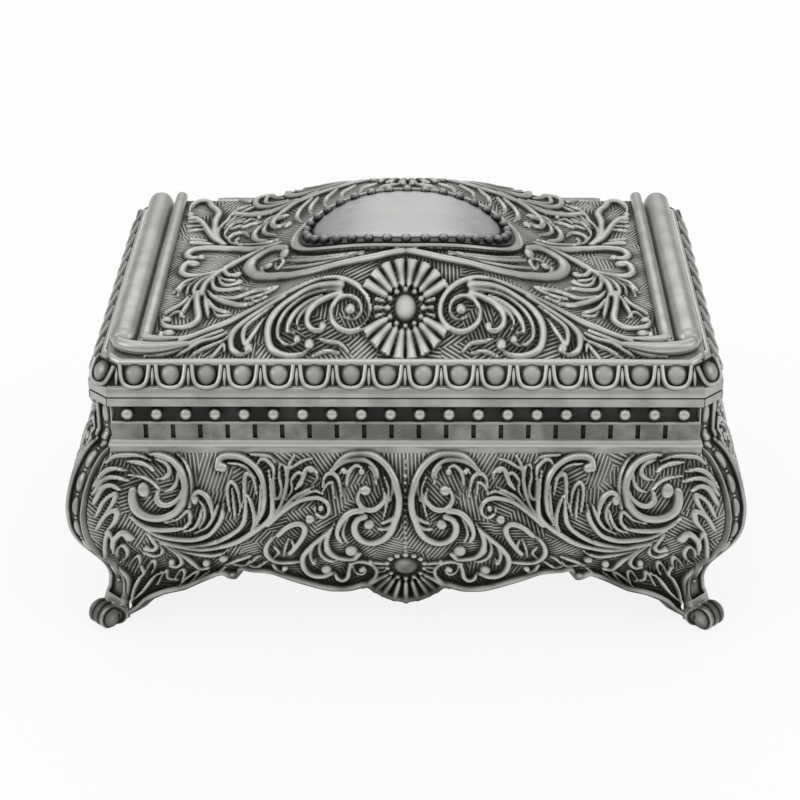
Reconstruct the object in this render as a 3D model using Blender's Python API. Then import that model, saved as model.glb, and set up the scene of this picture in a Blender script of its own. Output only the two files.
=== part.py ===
"""Footed metal trinket box: four bellied panels between scrolled corner posts, a humped
lid on two stop hinges, and a padded lining.

Metres, +Z up, the front faces -Y. The origin lies under the middle of the box, on the
plane that its feet stand on.
"""

import math

import bmesh
import bpy
from mathutils import Matrix, Vector

# Overall sizes of the box, measured at the parting between body and lid
BOX_WIDTH = 0.1380
BOX_DEPTH = 0.0950
CORNER_CUT = 0.00445
PARTING_HEIGHT = 0.0578
LID_GAP = 0.0003
SEAM = 0.0003
CUT_OVERRUN = 0.0020

# Wall of the body: bands below the rim, then the belly and the ankle
WALL = 0.0024
RIM_BAND = 0.0020
COVE_BAND = 0.0038
COVE_DEPTH = 0.0011
LEDGE_BAND = 0.0005
DENTIL_BAND = 0.0038
DENTIL_INSET = 0.0006
RIDGE_BAND = 0.0021
RIDGE_PROUD = 0.0003
BULGE = 0.0063
BELLY_HEIGHT = 0.0312
ANKLE_HEIGHT = 0.0095
ANKLE_INSET = 0.0010
BELLY_POWER = 1.6
OGEE_POWER = 1.3
BELLY_STEPS = 6
ANKLE_STEPS = 8
RIDGE_STEPS = 4

# Beads in the cove and slots between the dentils
BEAD_DIAMETER = 0.0028
BEAD_PITCH = 0.00633
BEAD_END_ROOM = 0.0042
BEAD_SUNK_SHARE = 0.25
BEAD_SEGMENTS = 5
BEAD_RINGS = 3
SLOT_WIDTH = 0.0009
SLOT_HEIGHT = 0.0033
SLOT_DEPTH = 0.0007
SLOT_PITCH = 0.00594
SLOT_END_ROOM = 0.0080

# Lower edge of a panel, from its end to its middle: the edge's height and place
APRON_RISE = 0.0140
APRON_SHARES = (
    (0.990, 0.00),
    (0.955, 0.19),
    (0.918, 0.36),
    (0.855, 0.50),
    (0.780, 0.59),
    (0.712, 0.75),
    (0.650, 0.88),
    (0.615, 0.80),
    (0.590, 0.82),
    (0.578, 1.00),
    (0.540, 0.96),
    (0.474, 0.91),
    (0.408, 0.77),
    (0.340, 0.66),
    (0.270, 0.57),
    (0.200, 0.57),
    (0.138, 0.65),
    (0.116, 0.57),
    (0.062, 0.42),
    (0.000, 0.35),
)

# Carving on the walls and the lid: raised bands over a ground sunk below their crests
CARVED_DEPTH = 0.0009
CARVED_WIDTH = 0.0024
CARVED_ROOT = 0.0005
CARVED_TOP_SHARE = 0.5
CARVED_END_SHARE = 0.5
PETAL_WIDTH = 0.0018
PETAL_START_SHARE = 0.52
BOSS_SEGMENTS = 8
BOSS_RINGS = 4
SHELL_HEIGHT = 0.0157
SHELL_REACH = 0.0098
SHELL_BOSS = 0.0036
SHELL_TURNS_DEGREES = (-58, -29, 0, 29, 58)

# Bands of a long and of a short wall's left half, as shares of its half length and belly top
LONG_WALL_SHARES = (
    ((-0.93, 0.82), (-0.92, 0.73), (-0.86, 0.68), (-0.78, 0.72), (-0.75, 0.82), (-0.77, 0.91)),
    ((-0.84, 0.54), (-0.72, 0.49), (-0.58, 0.54), (-0.48, 0.66), (-0.45, 0.78), (-0.46, 0.90)),
    ((-0.79, 0.47), (-0.78, 0.39), (-0.82, 0.34)),
    ((-0.63, 0.92), (-0.57, 0.95), (-0.51, 0.90), (-0.50, 0.80)),
    ((-0.14, 0.69), (-0.17, 0.61), (-0.12, 0.53), (-0.06, 0.58), (-0.03, 0.72), (-0.05, 0.88),
     (-0.12, 0.96), (-0.22, 0.95)),
    ((-0.25, 0.63), (-0.32, 0.52), (-0.36, 0.38), (-0.32, 0.27), (-0.26, 0.28)),
    ((-0.23, 0.55), (-0.27, 0.46), (-0.21, 0.39)),
    ((-0.37, 0.64), (-0.44, 0.58), (-0.48, 0.46), (-0.43, 0.37)),
)
SHORT_WALL_SHARES = (
    ((-0.90, 0.82), (-0.88, 0.73), (-0.79, 0.68), (-0.68, 0.72), (-0.62, 0.82), (-0.66, 0.91)),
    ((-0.76, 0.54), (-0.60, 0.49), (-0.38, 0.54), (-0.24, 0.66), (-0.19, 0.78), (-0.20, 0.90)),
    ((-0.68, 0.47), (-0.66, 0.39), (-0.73, 0.34)),
)

# Bands of the lid's left half, as shares of half the box's width and depth
LID_SHARES = (
    ((-0.19, -0.74), (-0.11, -0.72), (-0.13, -0.60), (-0.27, -0.54), (-0.42, -0.57), (-0.53, -0.61),
     (-0.62, -0.69), (-0.69, -0.77), (-0.76, -0.83)),
    ((-0.34, -0.62), (-0.42, -0.70), (-0.43, -0.80), (-0.36, -0.87), (-0.30, -0.84)),
    ((-0.50, -0.68), (-0.55, -0.77), (-0.54, -0.86), (-0.48, -0.86)),
    ((-0.68, -0.36), (-0.67, -0.55), (-0.70, -0.65), (-0.76, -0.64), (-0.78, -0.58)),
    ((-0.65, -0.29), (-0.59, -0.41), (-0.51, -0.50)),
    ((-0.10, -0.42), (-0.22, -0.44), (-0.35, -0.40), (-0.45, -0.30), (-0.52, -0.16), (-0.53, -0.03),
     (-0.49, 0.05), (-0.44, 0.04)),
    ((-0.50, 0.13), (-0.58, 0.20), (-0.67, 0.24), (-0.74, 0.21), (-0.75, 0.13)),
    ((-0.63, -0.04), (-0.70, -0.10), (-0.75, -0.05), (-0.74, 0.05)),
    ((-0.64, 0.30), (-0.68, 0.50), (-0.68, 0.68), (-0.72, 0.84), (-0.77, 0.83), (-0.78, 0.71)),
    ((-0.34, 0.56), (-0.43, 0.53), (-0.48, 0.42), (-0.44, 0.32)),
    ((-0.17, 0.60), (-0.27, 0.64), (-0.42, 0.67), (-0.55, 0.72)),
)
ROSETTE_PLACE_SHARE = 0.68
ROSETTE_REACH = 0.0100
ROSETTE_BOSS = 0.0034
ROSETTE_PETALS = 8

# Corner post: a pilaster in section, and the three lobes of its foot
POST_WALL = 0.0030
POST_RIB = 0.0010
POST_RECESS = 0.0006
POST_NECK_INSET = 0.0009
LOBE_RADIUS = 0.00265
SCROLL_RADIUS = 0.0029
SCROLL_OUT = 0.0026
FOOT_FLAT = 0.0003
LOBE_FACE_OUT = 0.0004
LOBE_INSET = 0.0030
LOBE_LENGTH = 0.0050
LOBE_SEGMENTS = 10
LOBE_BEVEL = 0.0008

# Floor of the body and its lining
FLOOR_THICKNESS = 0.0012
FLOOR_CLEARANCE = 0.0006
LINING_THICKNESS = 0.0015
LINING_CROWN = 0.0004
LINING_TOP_ROOM = 0.0015
FLOOR_PAD_THICKNESS = 0.0018
FLOOR_PAD_CROWN = 0.0010
PAD_EDGE = 0.0006
PAD_COLUMNS = 8
PAD_ROWS = 6

# Lid: flat band, sloping border, raised frame, humped field
LID_BAND = 0.0024
BORDER_INSET = 0.0027
BORDER_RISE = 0.0043
FRAME_WIDTH = 0.0015
FRAME_RISE = 0.0010
FRAME_TOP_SHARES = (0.3, 0.7)
FIELD_SINK = 0.0003
LID_WALL = 0.0022
HUMP_HEIGHT = 0.0225
HUMP_FOOT_HEIGHT = 0.0101
HUMP_HALF_WIDTH = 0.0440
RAIL_SEAT_HEIGHT = 0.0082
HIP_SLOPE_SHARE = 0.68
HIP_BLEND = 0.0016
LID_COLUMNS = 24
LID_ROWS = 18
HOLLOW_COLUMNS = 12
HOLLOW_ROWS = 8

# Rails along the short sides of the lid
RAIL_RADIUS = 0.00305
RAIL_INSET = 0.00725
RAIL_RIDGE_HEIGHT = 0.0114
SLIM_RAIL_RADIUS = 0.0014
RAIL_GROOVE = 0.0006
SLIM_RIDGE_HEIGHT = 0.0110
RAIL_END_ROOM = 0.0070
RAIL_SEGMENTS = 12
RAIL_END_RINGS = 3

# Eggs on the sloping border
EGG_PITCH = 0.00779
EGG_END_ROOM = 0.0106
EGG_WIDTH = 0.0044
EGG_LENGTH = 0.0046
EGG_PROUD = 0.0011
EGG_SEGMENTS = 5
EGG_RINGS = 3

# Oval plaque and the raised rim round it
PLAQUE_HALF_WIDTH = 0.0252
PLAQUE_HALF_DEPTH = 0.0156
PLAQUE_THICKNESS = 0.0007
PLAQUE_POINTS = 32
PLAQUE_STRIPS = 12
PLAQUE_BEAD_SEGMENTS = 5
PLAQUE_BEAD_RINGS = 3
PLAQUE_BEADS = 34
PLAQUE_BEAD_DIAMETER = 0.0019
RIM_WIRE = 0.0005
RIM_WIRE_SIDES = 6

# Padded board inside the lid
LID_BOARD_THICKNESS = 0.0016
LID_BOARD_CROWN = 0.0009
LID_BOARD_RECESS = 0.0012

# Hinges on the rear
HINGE_SPREAD = 0.0400
HINGE_WIDTH = 0.0140
HINGE_PAD_MARGIN = 0.0012
HINGE_PAD_PROUD = 0.0004
HINGE_PAD_HEIGHT = 0.0092
LID_PAD_HEIGHT = 0.0074
LEAF_THICKNESS = 0.0008
BODY_LEAF_HEIGHT = 0.0085
LID_LEAF_HEIGHT = 0.0072
BARREL_RADIUS = 0.0017
PIN_RADIUS = 0.0006
PIN_CLEARANCE = 0.0003
PIN_HEAD_RADIUS = 0.0011
PIN_HEAD_LENGTH = 0.0005
HEEL_REACH = 0.0038
HEEL_THICKNESS = 0.0014
LID_OPENING_DEGREES = 105.0
BARREL_SEGMENTS = 12
SCREW_SPREAD = 0.0080
SCREW_SHANK_RADIUS = 0.0006
SCREW_HEAD_RADIUS = 0.0013
SCREW_HEAD_HEIGHT = 0.0006
SCREW_DEPTH = 0.0018
SCREW_SEGMENTS = 8

# Places worked out from the sizes above
HALF_WIDTH = BOX_WIDTH / 2
HALF_DEPTH = BOX_DEPTH / 2
COVE_TOP = PARTING_HEIGHT - RIM_BAND
COVE_FLOOR = COVE_TOP - COVE_BAND
DENTIL_TOP = COVE_FLOOR - LEDGE_BAND
DENTIL_FLOOR = DENTIL_TOP - DENTIL_BAND
BELLY_TOP = DENTIL_FLOOR - RIDGE_BAND
LID_BASE = PARTING_HEIGHT + LID_GAP
POST_HALF_WIDTH = CORNER_CUT / math.sqrt(2) - SEAM
FLOOR_BASE = APRON_RISE + FLOOR_CLEARANCE
FLOOR_TOP = FLOOR_BASE + FLOOR_THICKNESS
LINING_INSET = COVE_DEPTH + WALL + SEAM
FIELD_INSET = BORDER_INSET + FRAME_WIDTH
FIELD_EDGE_HEIGHT = LID_BAND + BORDER_RISE + FRAME_RISE - FIELD_SINK
HINGE_FACE = HALF_DEPTH + HINGE_PAD_PROUD + SEAM
AXIS_Y = HINGE_FACE + BARREL_RADIUS
AXIS_Z = PARTING_HEIGHT + LID_GAP / 2
KNUCKLE_LENGTH = (HINGE_WIDTH - 2 * SEAM) / 3
KNUCKLE_CLEARANCE = BARREL_RADIUS + SEAM
GROUND_HALF_WIDTH = HALF_WIDTH - RAIL_INSET - RAIL_RADIUS - RAIL_GROOVE - 2 * SLIM_RAIL_RADIUS

# Finishes: colour, roughness, metallic
PEWTER_FINISH = ((0.30, 0.31, 0.29, 1.0), 0.42, 0.9)
BRUSHED_FINISH = ((0.52, 0.54, 0.52, 1.0), 0.30, 1.0)
STEEL_FINISH = ((0.40, 0.41, 0.41, 1.0), 0.35, 1.0)
VELVET_FINISH = ((0.10, 0.02, 0.03, 1.0), 0.95, 0.0)
SHARP_ANGLE = math.radians(38)


def clear_scene():
    """Remove every object, so that the box is alone."""
    for old in list(bpy.data.objects):
        bpy.data.objects.remove(old, do_unlink=True)


def make_material(name, finish):
    """A Principled material of one colour, roughness and metallic value."""
    colour, roughness, metallic = finish
    material = bpy.data.materials.new(name)
    material.use_nodes = True
    shader = material.node_tree.nodes["Principled BSDF"]
    shader.inputs["Base Color"].default_value = colour
    shader.inputs["Roughness"].default_value = roughness
    shader.inputs["Metallic"].default_value = metallic
    return material


def mesh_from(name, points, faces):
    """A mesh with its faces turned outwards and its round parts shaded smooth."""
    shape = bmesh.new()
    corners = [shape.verts.new(point) for point in points]
    for face in faces:
        shape.faces.new([corners[index] for index in face])
    bmesh.ops.recalc_face_normals(shape, faces=shape.faces)
    mesh = bpy.data.meshes.new(name)
    shape.to_mesh(mesh)
    shape.free()
    return mesh


def joined_mesh(name, meshes):
    """One mesh that holds several separate bodies, as a cutter or a row of beads does."""
    shape = bmesh.new()
    for mesh in meshes:
        shape.from_mesh(mesh)
        bpy.data.meshes.remove(mesh)
    whole = bpy.data.meshes.new(name)
    shape.to_mesh(whole)
    shape.free()
    return whole


def combine(mesh, other, operation):
    """The first mesh after a Boolean with the second one, with the EXACT solver."""
    base = bpy.data.objects.new(mesh.name, mesh)
    tool = bpy.data.objects.new(other.name, other)
    for piece in (base, tool):
        bpy.context.scene.collection.objects.link(piece)
    change = base.modifiers.new("combine", "BOOLEAN")
    change.solver = "EXACT"
    change.operation = operation
    change.object = tool
    bpy.context.view_layer.update()
    graph = bpy.context.evaluated_depsgraph_get()
    result = bpy.data.meshes.new_from_object(base.evaluated_get(graph))
    bpy.data.objects.remove(base)
    bpy.data.objects.remove(tool)
    bpy.data.meshes.remove(mesh)
    bpy.data.meshes.remove(other)
    return result


def place(name, mesh, material, location=(0, 0, 0), rotation=(0, 0, 0), parent=None):
    """A named piece with its material, put where it belongs."""
    mesh.materials.clear()
    mesh.materials.append(material)
    mesh.shade_smooth()
    mesh.set_sharp_from_angle(angle=SHARP_ANGLE)
    piece = bpy.data.objects.new(name, mesh)
    bpy.context.scene.collection.objects.link(piece)
    piece.location = location
    piece.rotation_euler = rotation
    if parent is not None:
        piece.parent = parent
        piece.matrix_parent_inverse = parent.matrix_world.inverted()
    return piece


def prism(name, outline, start, end):
    """An outline of two coordinates drawn out from start to end, both functions of a point."""
    count = len(outline)
    points = [start(*point) for point in outline] + [end(*point) for point in outline]
    faces = [tuple(range(count)), tuple(range(count, 2 * count))]
    for i in range(count):
        j = (i + 1) % count
        faces.append((i, j, count + j, count + i))
    return mesh_from(name, points, faces)


def box_mesh(name, low, high):
    """A box between two opposite corners."""
    outline = ((low[0], low[1]), (high[0], low[1]), (high[0], high[1]), (low[0], high[1]))
    return prism(name, outline, lambda x, y: (x, y, low[2]), lambda x, y: (x, y, high[2]))


def turned_mesh(name, outline, segments, frame):
    """A closed outline of (radius, height) points turned round the Z axis of a frame."""
    points = []
    rings = []
    for radius, height in outline:
        if radius <= 0:
            rings.append([len(points)])
            points.append(frame @ Vector((0, 0, height)))
            continue
        rings.append([])
        for k in range(segments):
            turn = 2 * math.pi * k / segments
            rings[-1].append(len(points))
            spot = Vector((radius * math.cos(turn), radius * math.sin(turn), height))
            points.append(frame @ spot)
    faces = []
    for lower, upper in zip(rings, rings[1:]):
        for k in range(segments):
            n = (k + 1) % segments
            face = [lower[k % len(lower)], lower[n % len(lower)]]
            face += [upper[n % len(upper)], upper[k % len(upper)]]
            faces.append(tuple(dict.fromkeys(face)))
    return mesh_from(name, points, faces)


def pointing(place_at, direction):
    """A frame at a place whose Z axis points along a direction."""
    turn = Vector((0, 0, 1)).rotation_difference(Vector(direction)).to_matrix().to_4x4()
    return Matrix.Translation(place_at) @ turn


def rod(name, start, end, radius, segments):
    """A plain round rod between two points."""
    reach = Vector(end) - Vector(start)
    outline = ((0, 0), (radius, 0), (radius, reach.length), (0, reach.length))
    return turned_mesh(name, outline, segments, pointing(start, reach))


def ball(name, centre, half_sizes, frame, segments, rings):
    """A ball squashed to three half sizes, with its poles along the frame's Z axis."""
    outline = []
    for k in range(rings + 1):
        turn = math.pi * (k / rings) - math.pi / 2
        outline.append((math.cos(turn), math.sin(turn)))
    outline[0] = (0, -1)
    outline[-1] = (0, 1)
    scale = Matrix.Diagonal((half_sizes[0], half_sizes[1], half_sizes[2], 1))
    return turned_mesh(name, outline, segments, Matrix.Translation(centre) @ frame @ scale)


def spread(half_length, end_room, pitch):
    """Evenly spaced places along a side, as near to the pitch as the length allows."""
    span = 2 * (half_length - end_room)
    gaps = max(1, round(span / pitch))
    return [span * k / gaps - span / 2 for k in range(gaps + 1)]


def ogee(share):
    """A smooth fall from 1 to 0 that stays full near its start."""
    share = min(1.0, max(0.0, share))
    return (1 + math.cos(math.pi * share**OGEE_POWER)) / 2


def belly_out(height):
    """How far the wall stands outside the rim's plane at a height under the ridge."""
    if height >= BELLY_HEIGHT:
        rise = min(1.0, (height - BELLY_HEIGHT) / (BELLY_TOP - BELLY_HEIGHT))
        return BULGE * (1 - rise**BELLY_POWER) ** (1 / BELLY_POWER)
    drop = (BELLY_HEIGHT - height) / (BELLY_HEIGHT - ANKLE_HEIGHT)
    return (BULGE + ANKLE_INSET) * ogee(drop) - ANKLE_INSET


def belly_heights():
    """Heights of the stations down the belly, closer together where it turns."""
    upper = BELLY_TOP - BELLY_HEIGHT
    lower = BELLY_HEIGHT - ANKLE_HEIGHT
    heights = []
    for k in range(BELLY_STEPS):
        heights.append(BELLY_HEIGHT + upper * math.cos(math.pi / 2 * k / BELLY_STEPS))
    for k in range(ANKLE_STEPS + 1):
        heights.append(BELLY_HEIGHT - lower * k / ANKLE_STEPS)
    return heights


def ridge_points():
    """The rounded moulding between the dentils and the belly."""
    points = []
    for k in range(RIDGE_STEPS + 1):
        turn = math.pi * k / RIDGE_STEPS
        out = (RIDGE_PROUD + DENTIL_INSET) * math.sin(turn) - DENTIL_INSET * (1 + math.cos(turn)) / 2
        points.append((out, DENTIL_FLOOR - RIDGE_BAND * k / RIDGE_STEPS))
    return points


def carved_band(name, places, surface, width):
    """A raised band with sloping sides along places on a surface, drawn in at both ends."""
    step = CARVED_WIDTH
    rings = []
    points = []
    for number, (a, b) in enumerate(places):
        before = places[max(number - 1, 0)]
        after = places[min(number + 1, len(places) - 1)]
        along = surface(*after) - surface(*before)
        spot = surface(a, b)
        normal = (surface(a + step, b) - spot).cross(surface(a, b + step) - spot).normalized()
        across = normal.cross(along).normalized()
        share = CARVED_END_SHARE if number in (0, len(places) - 1) else 1
        foot = across * (width * share / 2)
        root = spot - normal * (CARVED_DEPTH + CARVED_ROOT)
        rings.append(range(len(points), len(points) + 4))
        points += [root - foot, spot - foot * CARVED_TOP_SHARE]
        points += [spot + foot * CARVED_TOP_SHARE, root + foot]
    faces = [tuple(rings[0]), tuple(rings[-1])]
    for ring, following in zip(rings, rings[1:]):
        for k in range(4):
            n = (k + 1) % 4
            faces.append((ring[k], ring[n], following[n], following[k]))
    return mesh_from(name, points, faces)


def mirrored_bands(row, size_a, size_b, surface):
    """One band of a left half and its mirror image."""
    bands = []
    for side in (-1, 1):
        places = [(-side * a * size_a, b * size_b) for a, b in row]
        bands.append(carved_band("band", places, surface, CARVED_WIDTH))
    return bands


def petals(middle, turns, reach, surface):
    """Petals that spread from a middle at directions measured from straight down."""
    bands = []
    for turn in turns:
        across, down = math.sin(turn), -math.cos(turn)
        places = []
        for share in (PETAL_START_SHARE, (1 + PETAL_START_SHARE) / 2, 1):
            places.append((middle[0] + across * reach * share, middle[1] + down * reach * share))
        bands.append(carved_band("petal", places, surface, PETAL_WIDTH))
    return bands


def boss(place_at, radius, surface):
    """A low round boss on a surface."""
    a, b = place_at
    spot = surface(a, b)
    normal = (surface(a + radius, b) - spot).cross(surface(a, b + radius) - spot).normalized()
    centre = spot - normal * CARVED_DEPTH
    sizes = (radius, radius, CARVED_DEPTH)
    return ball("boss", centre, sizes, pointing((0, 0, 0), normal), BOSS_SEGMENTS, BOSS_RINGS)


def wall_crest(x, z):
    """A point on the crests of a wall's carving."""
    return Vector((x, -belly_out(z), z))


def carve(mesh, groups):
    """Add groups of bands one after the other, since bands of two groups may touch."""
    for group in groups:
        mesh = combine(mesh, joined_mesh("carving", group), "UNION")
    return mesh


def wall_carving(half_length, shares):
    """The bands and the shell on one wall, in groups."""
    groups = [mirrored_bands(row, half_length, BELLY_TOP, wall_crest) for row in shares]
    turns = [math.radians(degrees) for degrees in SHELL_TURNS_DEGREES]
    groups.append(petals((0, SHELL_HEIGHT), turns, SHELL_REACH, wall_crest))
    groups.append([boss((0, SHELL_HEIGHT), SHELL_BOSS, wall_crest)])
    return groups


def wall_section():
    """Section of a panel as (out, height): down its face, then up its back."""
    face = [
        (0, PARTING_HEIGHT),
        (0, COVE_TOP),
        (-COVE_DEPTH, COVE_TOP),
        (-COVE_DEPTH, COVE_FLOOR),
        (-DENTIL_INSET, COVE_FLOOR),
    ]
    face += ridge_points()
    stations = belly_heights()
    face += [(belly_out(height) - CARVED_DEPTH, height) for height in stations[1:]]
    face.append((-ANKLE_INSET - CARVED_DEPTH, 0))
    back = [(-ANKLE_INSET - WALL, 0)]
    back += [(belly_out(height) - WALL, height) for height in reversed(stations[1::2])]
    back.append((-COVE_DEPTH - WALL, BELLY_TOP))
    back.append((-COVE_DEPTH - WALL, PARTING_HEIGHT))
    return face + back


def apron_cutter(half_length):
    """What is cut from under a panel, shaped like its lower edge."""
    right = [(across * half_length, rise * APRON_RISE) for across, rise in APRON_SHARES]
    left = [(-across, rise) for across, rise in reversed(right[:-1])]
    edge = right + left
    outline = [(edge[0][0], -CUT_OVERRUN)] + edge + [(edge[-1][0], -CUT_OVERRUN)]
    back = WALL + ANKLE_INSET + BULGE
    return prism(
        "apron_cutter",
        outline,
        lambda x, z: (x, -BULGE, z),
        lambda x, z: (x, back, z),
    )


def lobe_room_cutter(half_length):
    """Room in both ends of a panel for the round lobes of the feet."""
    across = half_length + CORNER_CUT - LOBE_INSET
    height = LOBE_RADIUS - FOOT_FLAT
    cutters = []
    for side in (-1, 1):
        start = (side * across, -BULGE, height)
        end = (side * across, LOBE_LENGTH + SEAM, height)
        cutters.append(rod("lobe_room", start, end, LOBE_RADIUS + SEAM, LOBE_SEGMENTS))
    return joined_mesh("lobe_room_cutter", cutters)


def on_hinge_pad(across, hinged, margin):
    """Whether a place along the rear panel or the lid's rear lies on a hinge pad."""
    reach = HINGE_WIDTH / 2 + HINGE_PAD_MARGIN + margin
    return hinged and abs(abs(across) - HINGE_SPREAD) < reach


def cove_beads(half_length, hinged):
    """The row of beads in the cove, each sunk a little into its floor."""
    radius = BEAD_DIAMETER / 2
    height = (COVE_TOP + COVE_FLOOR) / 2
    beads = []
    for across in spread(half_length, BEAD_END_ROOM, BEAD_PITCH):
        if on_hinge_pad(across, hinged, radius):
            continue
        centre = (across, COVE_DEPTH - radius * BEAD_SUNK_SHARE, height)
        frame = pointing((0, 0, 0), (0, -1, 0))
        sizes = (radius, radius, radius)
        beads.append(ball("bead", centre, sizes, frame, BEAD_SEGMENTS, BEAD_RINGS))
    return joined_mesh("cove_beads", beads)


def dentil_slots(half_length, hinged):
    """The slots that part the dentils."""
    middle = (DENTIL_TOP + DENTIL_FLOOR) / 2
    slots = []
    for across in spread(half_length, SLOT_END_ROOM, SLOT_PITCH):
        if on_hinge_pad(across, hinged, SLOT_WIDTH):
            continue
        low = (across - SLOT_WIDTH / 2, -CUT_OVERRUN, middle - SLOT_HEIGHT / 2)
        high = (across + SLOT_WIDTH / 2, DENTIL_INSET + SLOT_DEPTH, middle + SLOT_HEIGHT / 2)
        slots.append(box_mesh("slot", low, high))
    return joined_mesh("dentil_slots", slots)


def screw_places():
    """Where the two screws of a leaf sit across its hinge."""
    return (-SCREW_SPREAD / 2, SCREW_SPREAD / 2)


def body_screw_height():
    """Height of the screws in a body leaf."""
    return AXIS_Z - (KNUCKLE_CLEARANCE + BODY_LEAF_HEIGHT) / 2


def lid_screw_height():
    """Height of the screws in a lid leaf."""
    return AXIS_Z + (KNUCKLE_CLEARANCE + LID_LEAF_HEIGHT) / 2


def panel_hinge_pads(mesh):
    """Add the two flat pads that carry the body leaves, with their screw holes."""
    half = HINGE_WIDTH / 2 + HINGE_PAD_MARGIN
    for side in (-1, 1):
        across = side * HINGE_SPREAD
        low = (across - half, -HINGE_PAD_PROUD, PARTING_HEIGHT - HINGE_PAD_HEIGHT)
        high = (across + half, COVE_DEPTH + WALL / 2, PARTING_HEIGHT - SEAM)
        mesh = combine(mesh, box_mesh("hinge_pad", low, high), "UNION")
    holes = []
    for side in (-1, 1):
        for offset in screw_places():
            start = (side * HINGE_SPREAD + offset, -CUT_OVERRUN, body_screw_height())
            end = (start[0], SCREW_DEPTH + SEAM, start[2])
            radius = SCREW_SHANK_RADIUS + PIN_CLEARANCE
            holes.append(rod("screw_hole", start, end, radius, SCREW_SEGMENTS))
    return combine(mesh, joined_mesh("screw_holes", holes), "DIFFERENCE")


def panel_mesh(name, half_length, shares, hinged):
    """One wall of the body, drawn along X with its face towards -Y and its rim plane at y = 0."""
    mesh = prism(
        name,
        wall_section(),
        lambda out, z: (-half_length - out, -out, z),
        lambda out, z: (half_length + out, -out, z),
    )
    mesh = carve(mesh, wall_carving(half_length, shares))
    mesh = combine(mesh, apron_cutter(half_length), "DIFFERENCE")
    mesh = combine(mesh, lobe_room_cutter(half_length), "DIFFERENCE")
    mesh = combine(mesh, dentil_slots(half_length, hinged), "DIFFERENCE")
    mesh = combine(mesh, cove_beads(half_length, hinged), "UNION")
    if hinged:
        mesh = panel_hinge_pads(mesh)
    return mesh


def build_panels(pewter):
    """The four walls of the body."""
    front_half = HALF_WIDTH - CORNER_CUT
    side_half = HALF_DEPTH - CORNER_CUT
    quarter = math.pi / 2
    front = panel_mesh("front_panel", front_half, LONG_WALL_SHARES, False)
    place("front_panel", front, pewter, (0, -HALF_DEPTH, 0))
    rear = panel_mesh("rear_panel", front_half, LONG_WALL_SHARES, True)
    place("rear_panel", rear, pewter, (0, HALF_DEPTH, 0), (0, 0, 2 * quarter))
    side = panel_mesh("side_panel", side_half, SHORT_WALL_SHARES, False)
    place("right_panel", side, pewter, (HALF_WIDTH, 0, 0), (0, 0, quarter))
    place("left_panel", side, pewter, (-HALF_WIDTH, 0, 0), (0, 0, -quarter))


def post_out(height):
    """How far a post's face stands out along its diagonal at a height."""
    if height > BELLY_TOP - RIDGE_PROUD:
        return -POST_NECK_INSET * math.sqrt(2)
    return belly_out(height) * math.sqrt(2)


def post_heights():
    """Heights of the stations down a post below its rim band."""
    return [COVE_TOP, DENTIL_FLOOR] + belly_heights()[1:]


def post_section():
    """Section of a post along its diagonal as (out, height)."""
    face = [(0, PARTING_HEIGHT), (0, COVE_TOP)]
    face += [(post_out(height), height) for height in post_heights()]
    ankle = -ANKLE_INSET * math.sqrt(2)
    centre_height = SCROLL_RADIUS - FOOT_FLAT
    toe = [
        (ankle + SCROLL_RADIUS / 8, centre_height + SCROLL_RADIUS * 4 / 3),
        (SCROLL_OUT - SCROLL_RADIUS / 4, centre_height + SCROLL_RADIUS * 3 / 4),
        (SCROLL_OUT, centre_height),
        (SCROLL_OUT - SCROLL_RADIUS / 3, 0),
    ]
    face += toe
    back_base = ankle - POST_WALL
    back = [(back_base + SCROLL_RADIUS / 2, 0), (back_base, SCROLL_RADIUS)]
    stations = belly_heights()
    for height in reversed(stations[1::2]):
        back.append((belly_out(height) * math.sqrt(2) - POST_WALL, height))
    neck = -POST_NECK_INSET * math.sqrt(2) - POST_WALL
    back.append((neck, BELLY_TOP))
    back.append((neck, PARTING_HEIGHT))
    return face + back


def post_recess_cutter():
    """The sunk band between the two raised edges of a post."""
    half = POST_HALF_WIDTH - POST_RIB
    heights = [height for height in post_heights() if height < COVE_TOP]
    inner = [(post_out(height) - POST_RECESS, height) for height in heights]
    beyond = BULGE * math.sqrt(2) + CUT_OVERRUN
    outline = inner + [(beyond, heights[-1]), (beyond, heights[0])]
    return prism(
        "post_recess",
        outline,
        lambda out, z: (out, -half, z),
        lambda out, z: (out, half, z),
    )


def foot_lobe(side):
    """A round lobe of the foot that faces square to one of the two panels beside it."""
    away = Vector((1, side, 0)).normalized()
    along = Vector((1, -side, 0)).normalized()
    middle = CORNER_CUT / 2
    face = away * (middle + LOBE_FACE_OUT) + along * (middle - LOBE_INSET)
    face.z = LOBE_RADIUS - FOOT_FLAT
    back = face - away * LOBE_LENGTH
    outline = (
        (0, 0),
        (LOBE_RADIUS, 0),
        (LOBE_RADIUS, LOBE_LENGTH - LOBE_BEVEL),
        (LOBE_RADIUS - LOBE_BEVEL / 3, LOBE_LENGTH - LOBE_BEVEL / 3),
        (LOBE_RADIUS - LOBE_BEVEL, LOBE_LENGTH),
        (0, LOBE_LENGTH),
    )
    return turned_mesh("foot_lobe", outline, LOBE_SEGMENTS, pointing(back, away))


def toe_lobe():
    """The middle lobe of the foot, a short barrel across the diagonal."""
    half = POST_HALF_WIDTH
    outline = (
        (0, -half),
        (SCROLL_RADIUS - LOBE_BEVEL, -half),
        (SCROLL_RADIUS, -half + LOBE_BEVEL),
        (SCROLL_RADIUS, half - LOBE_BEVEL),
        (SCROLL_RADIUS - LOBE_BEVEL, half),
        (0, half),
    )
    centre = (SCROLL_OUT, 0, SCROLL_RADIUS - FOOT_FLAT)
    return turned_mesh("toe_lobe", outline, LOBE_SEGMENTS, pointing(centre, (0, 1, 0)))


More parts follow.
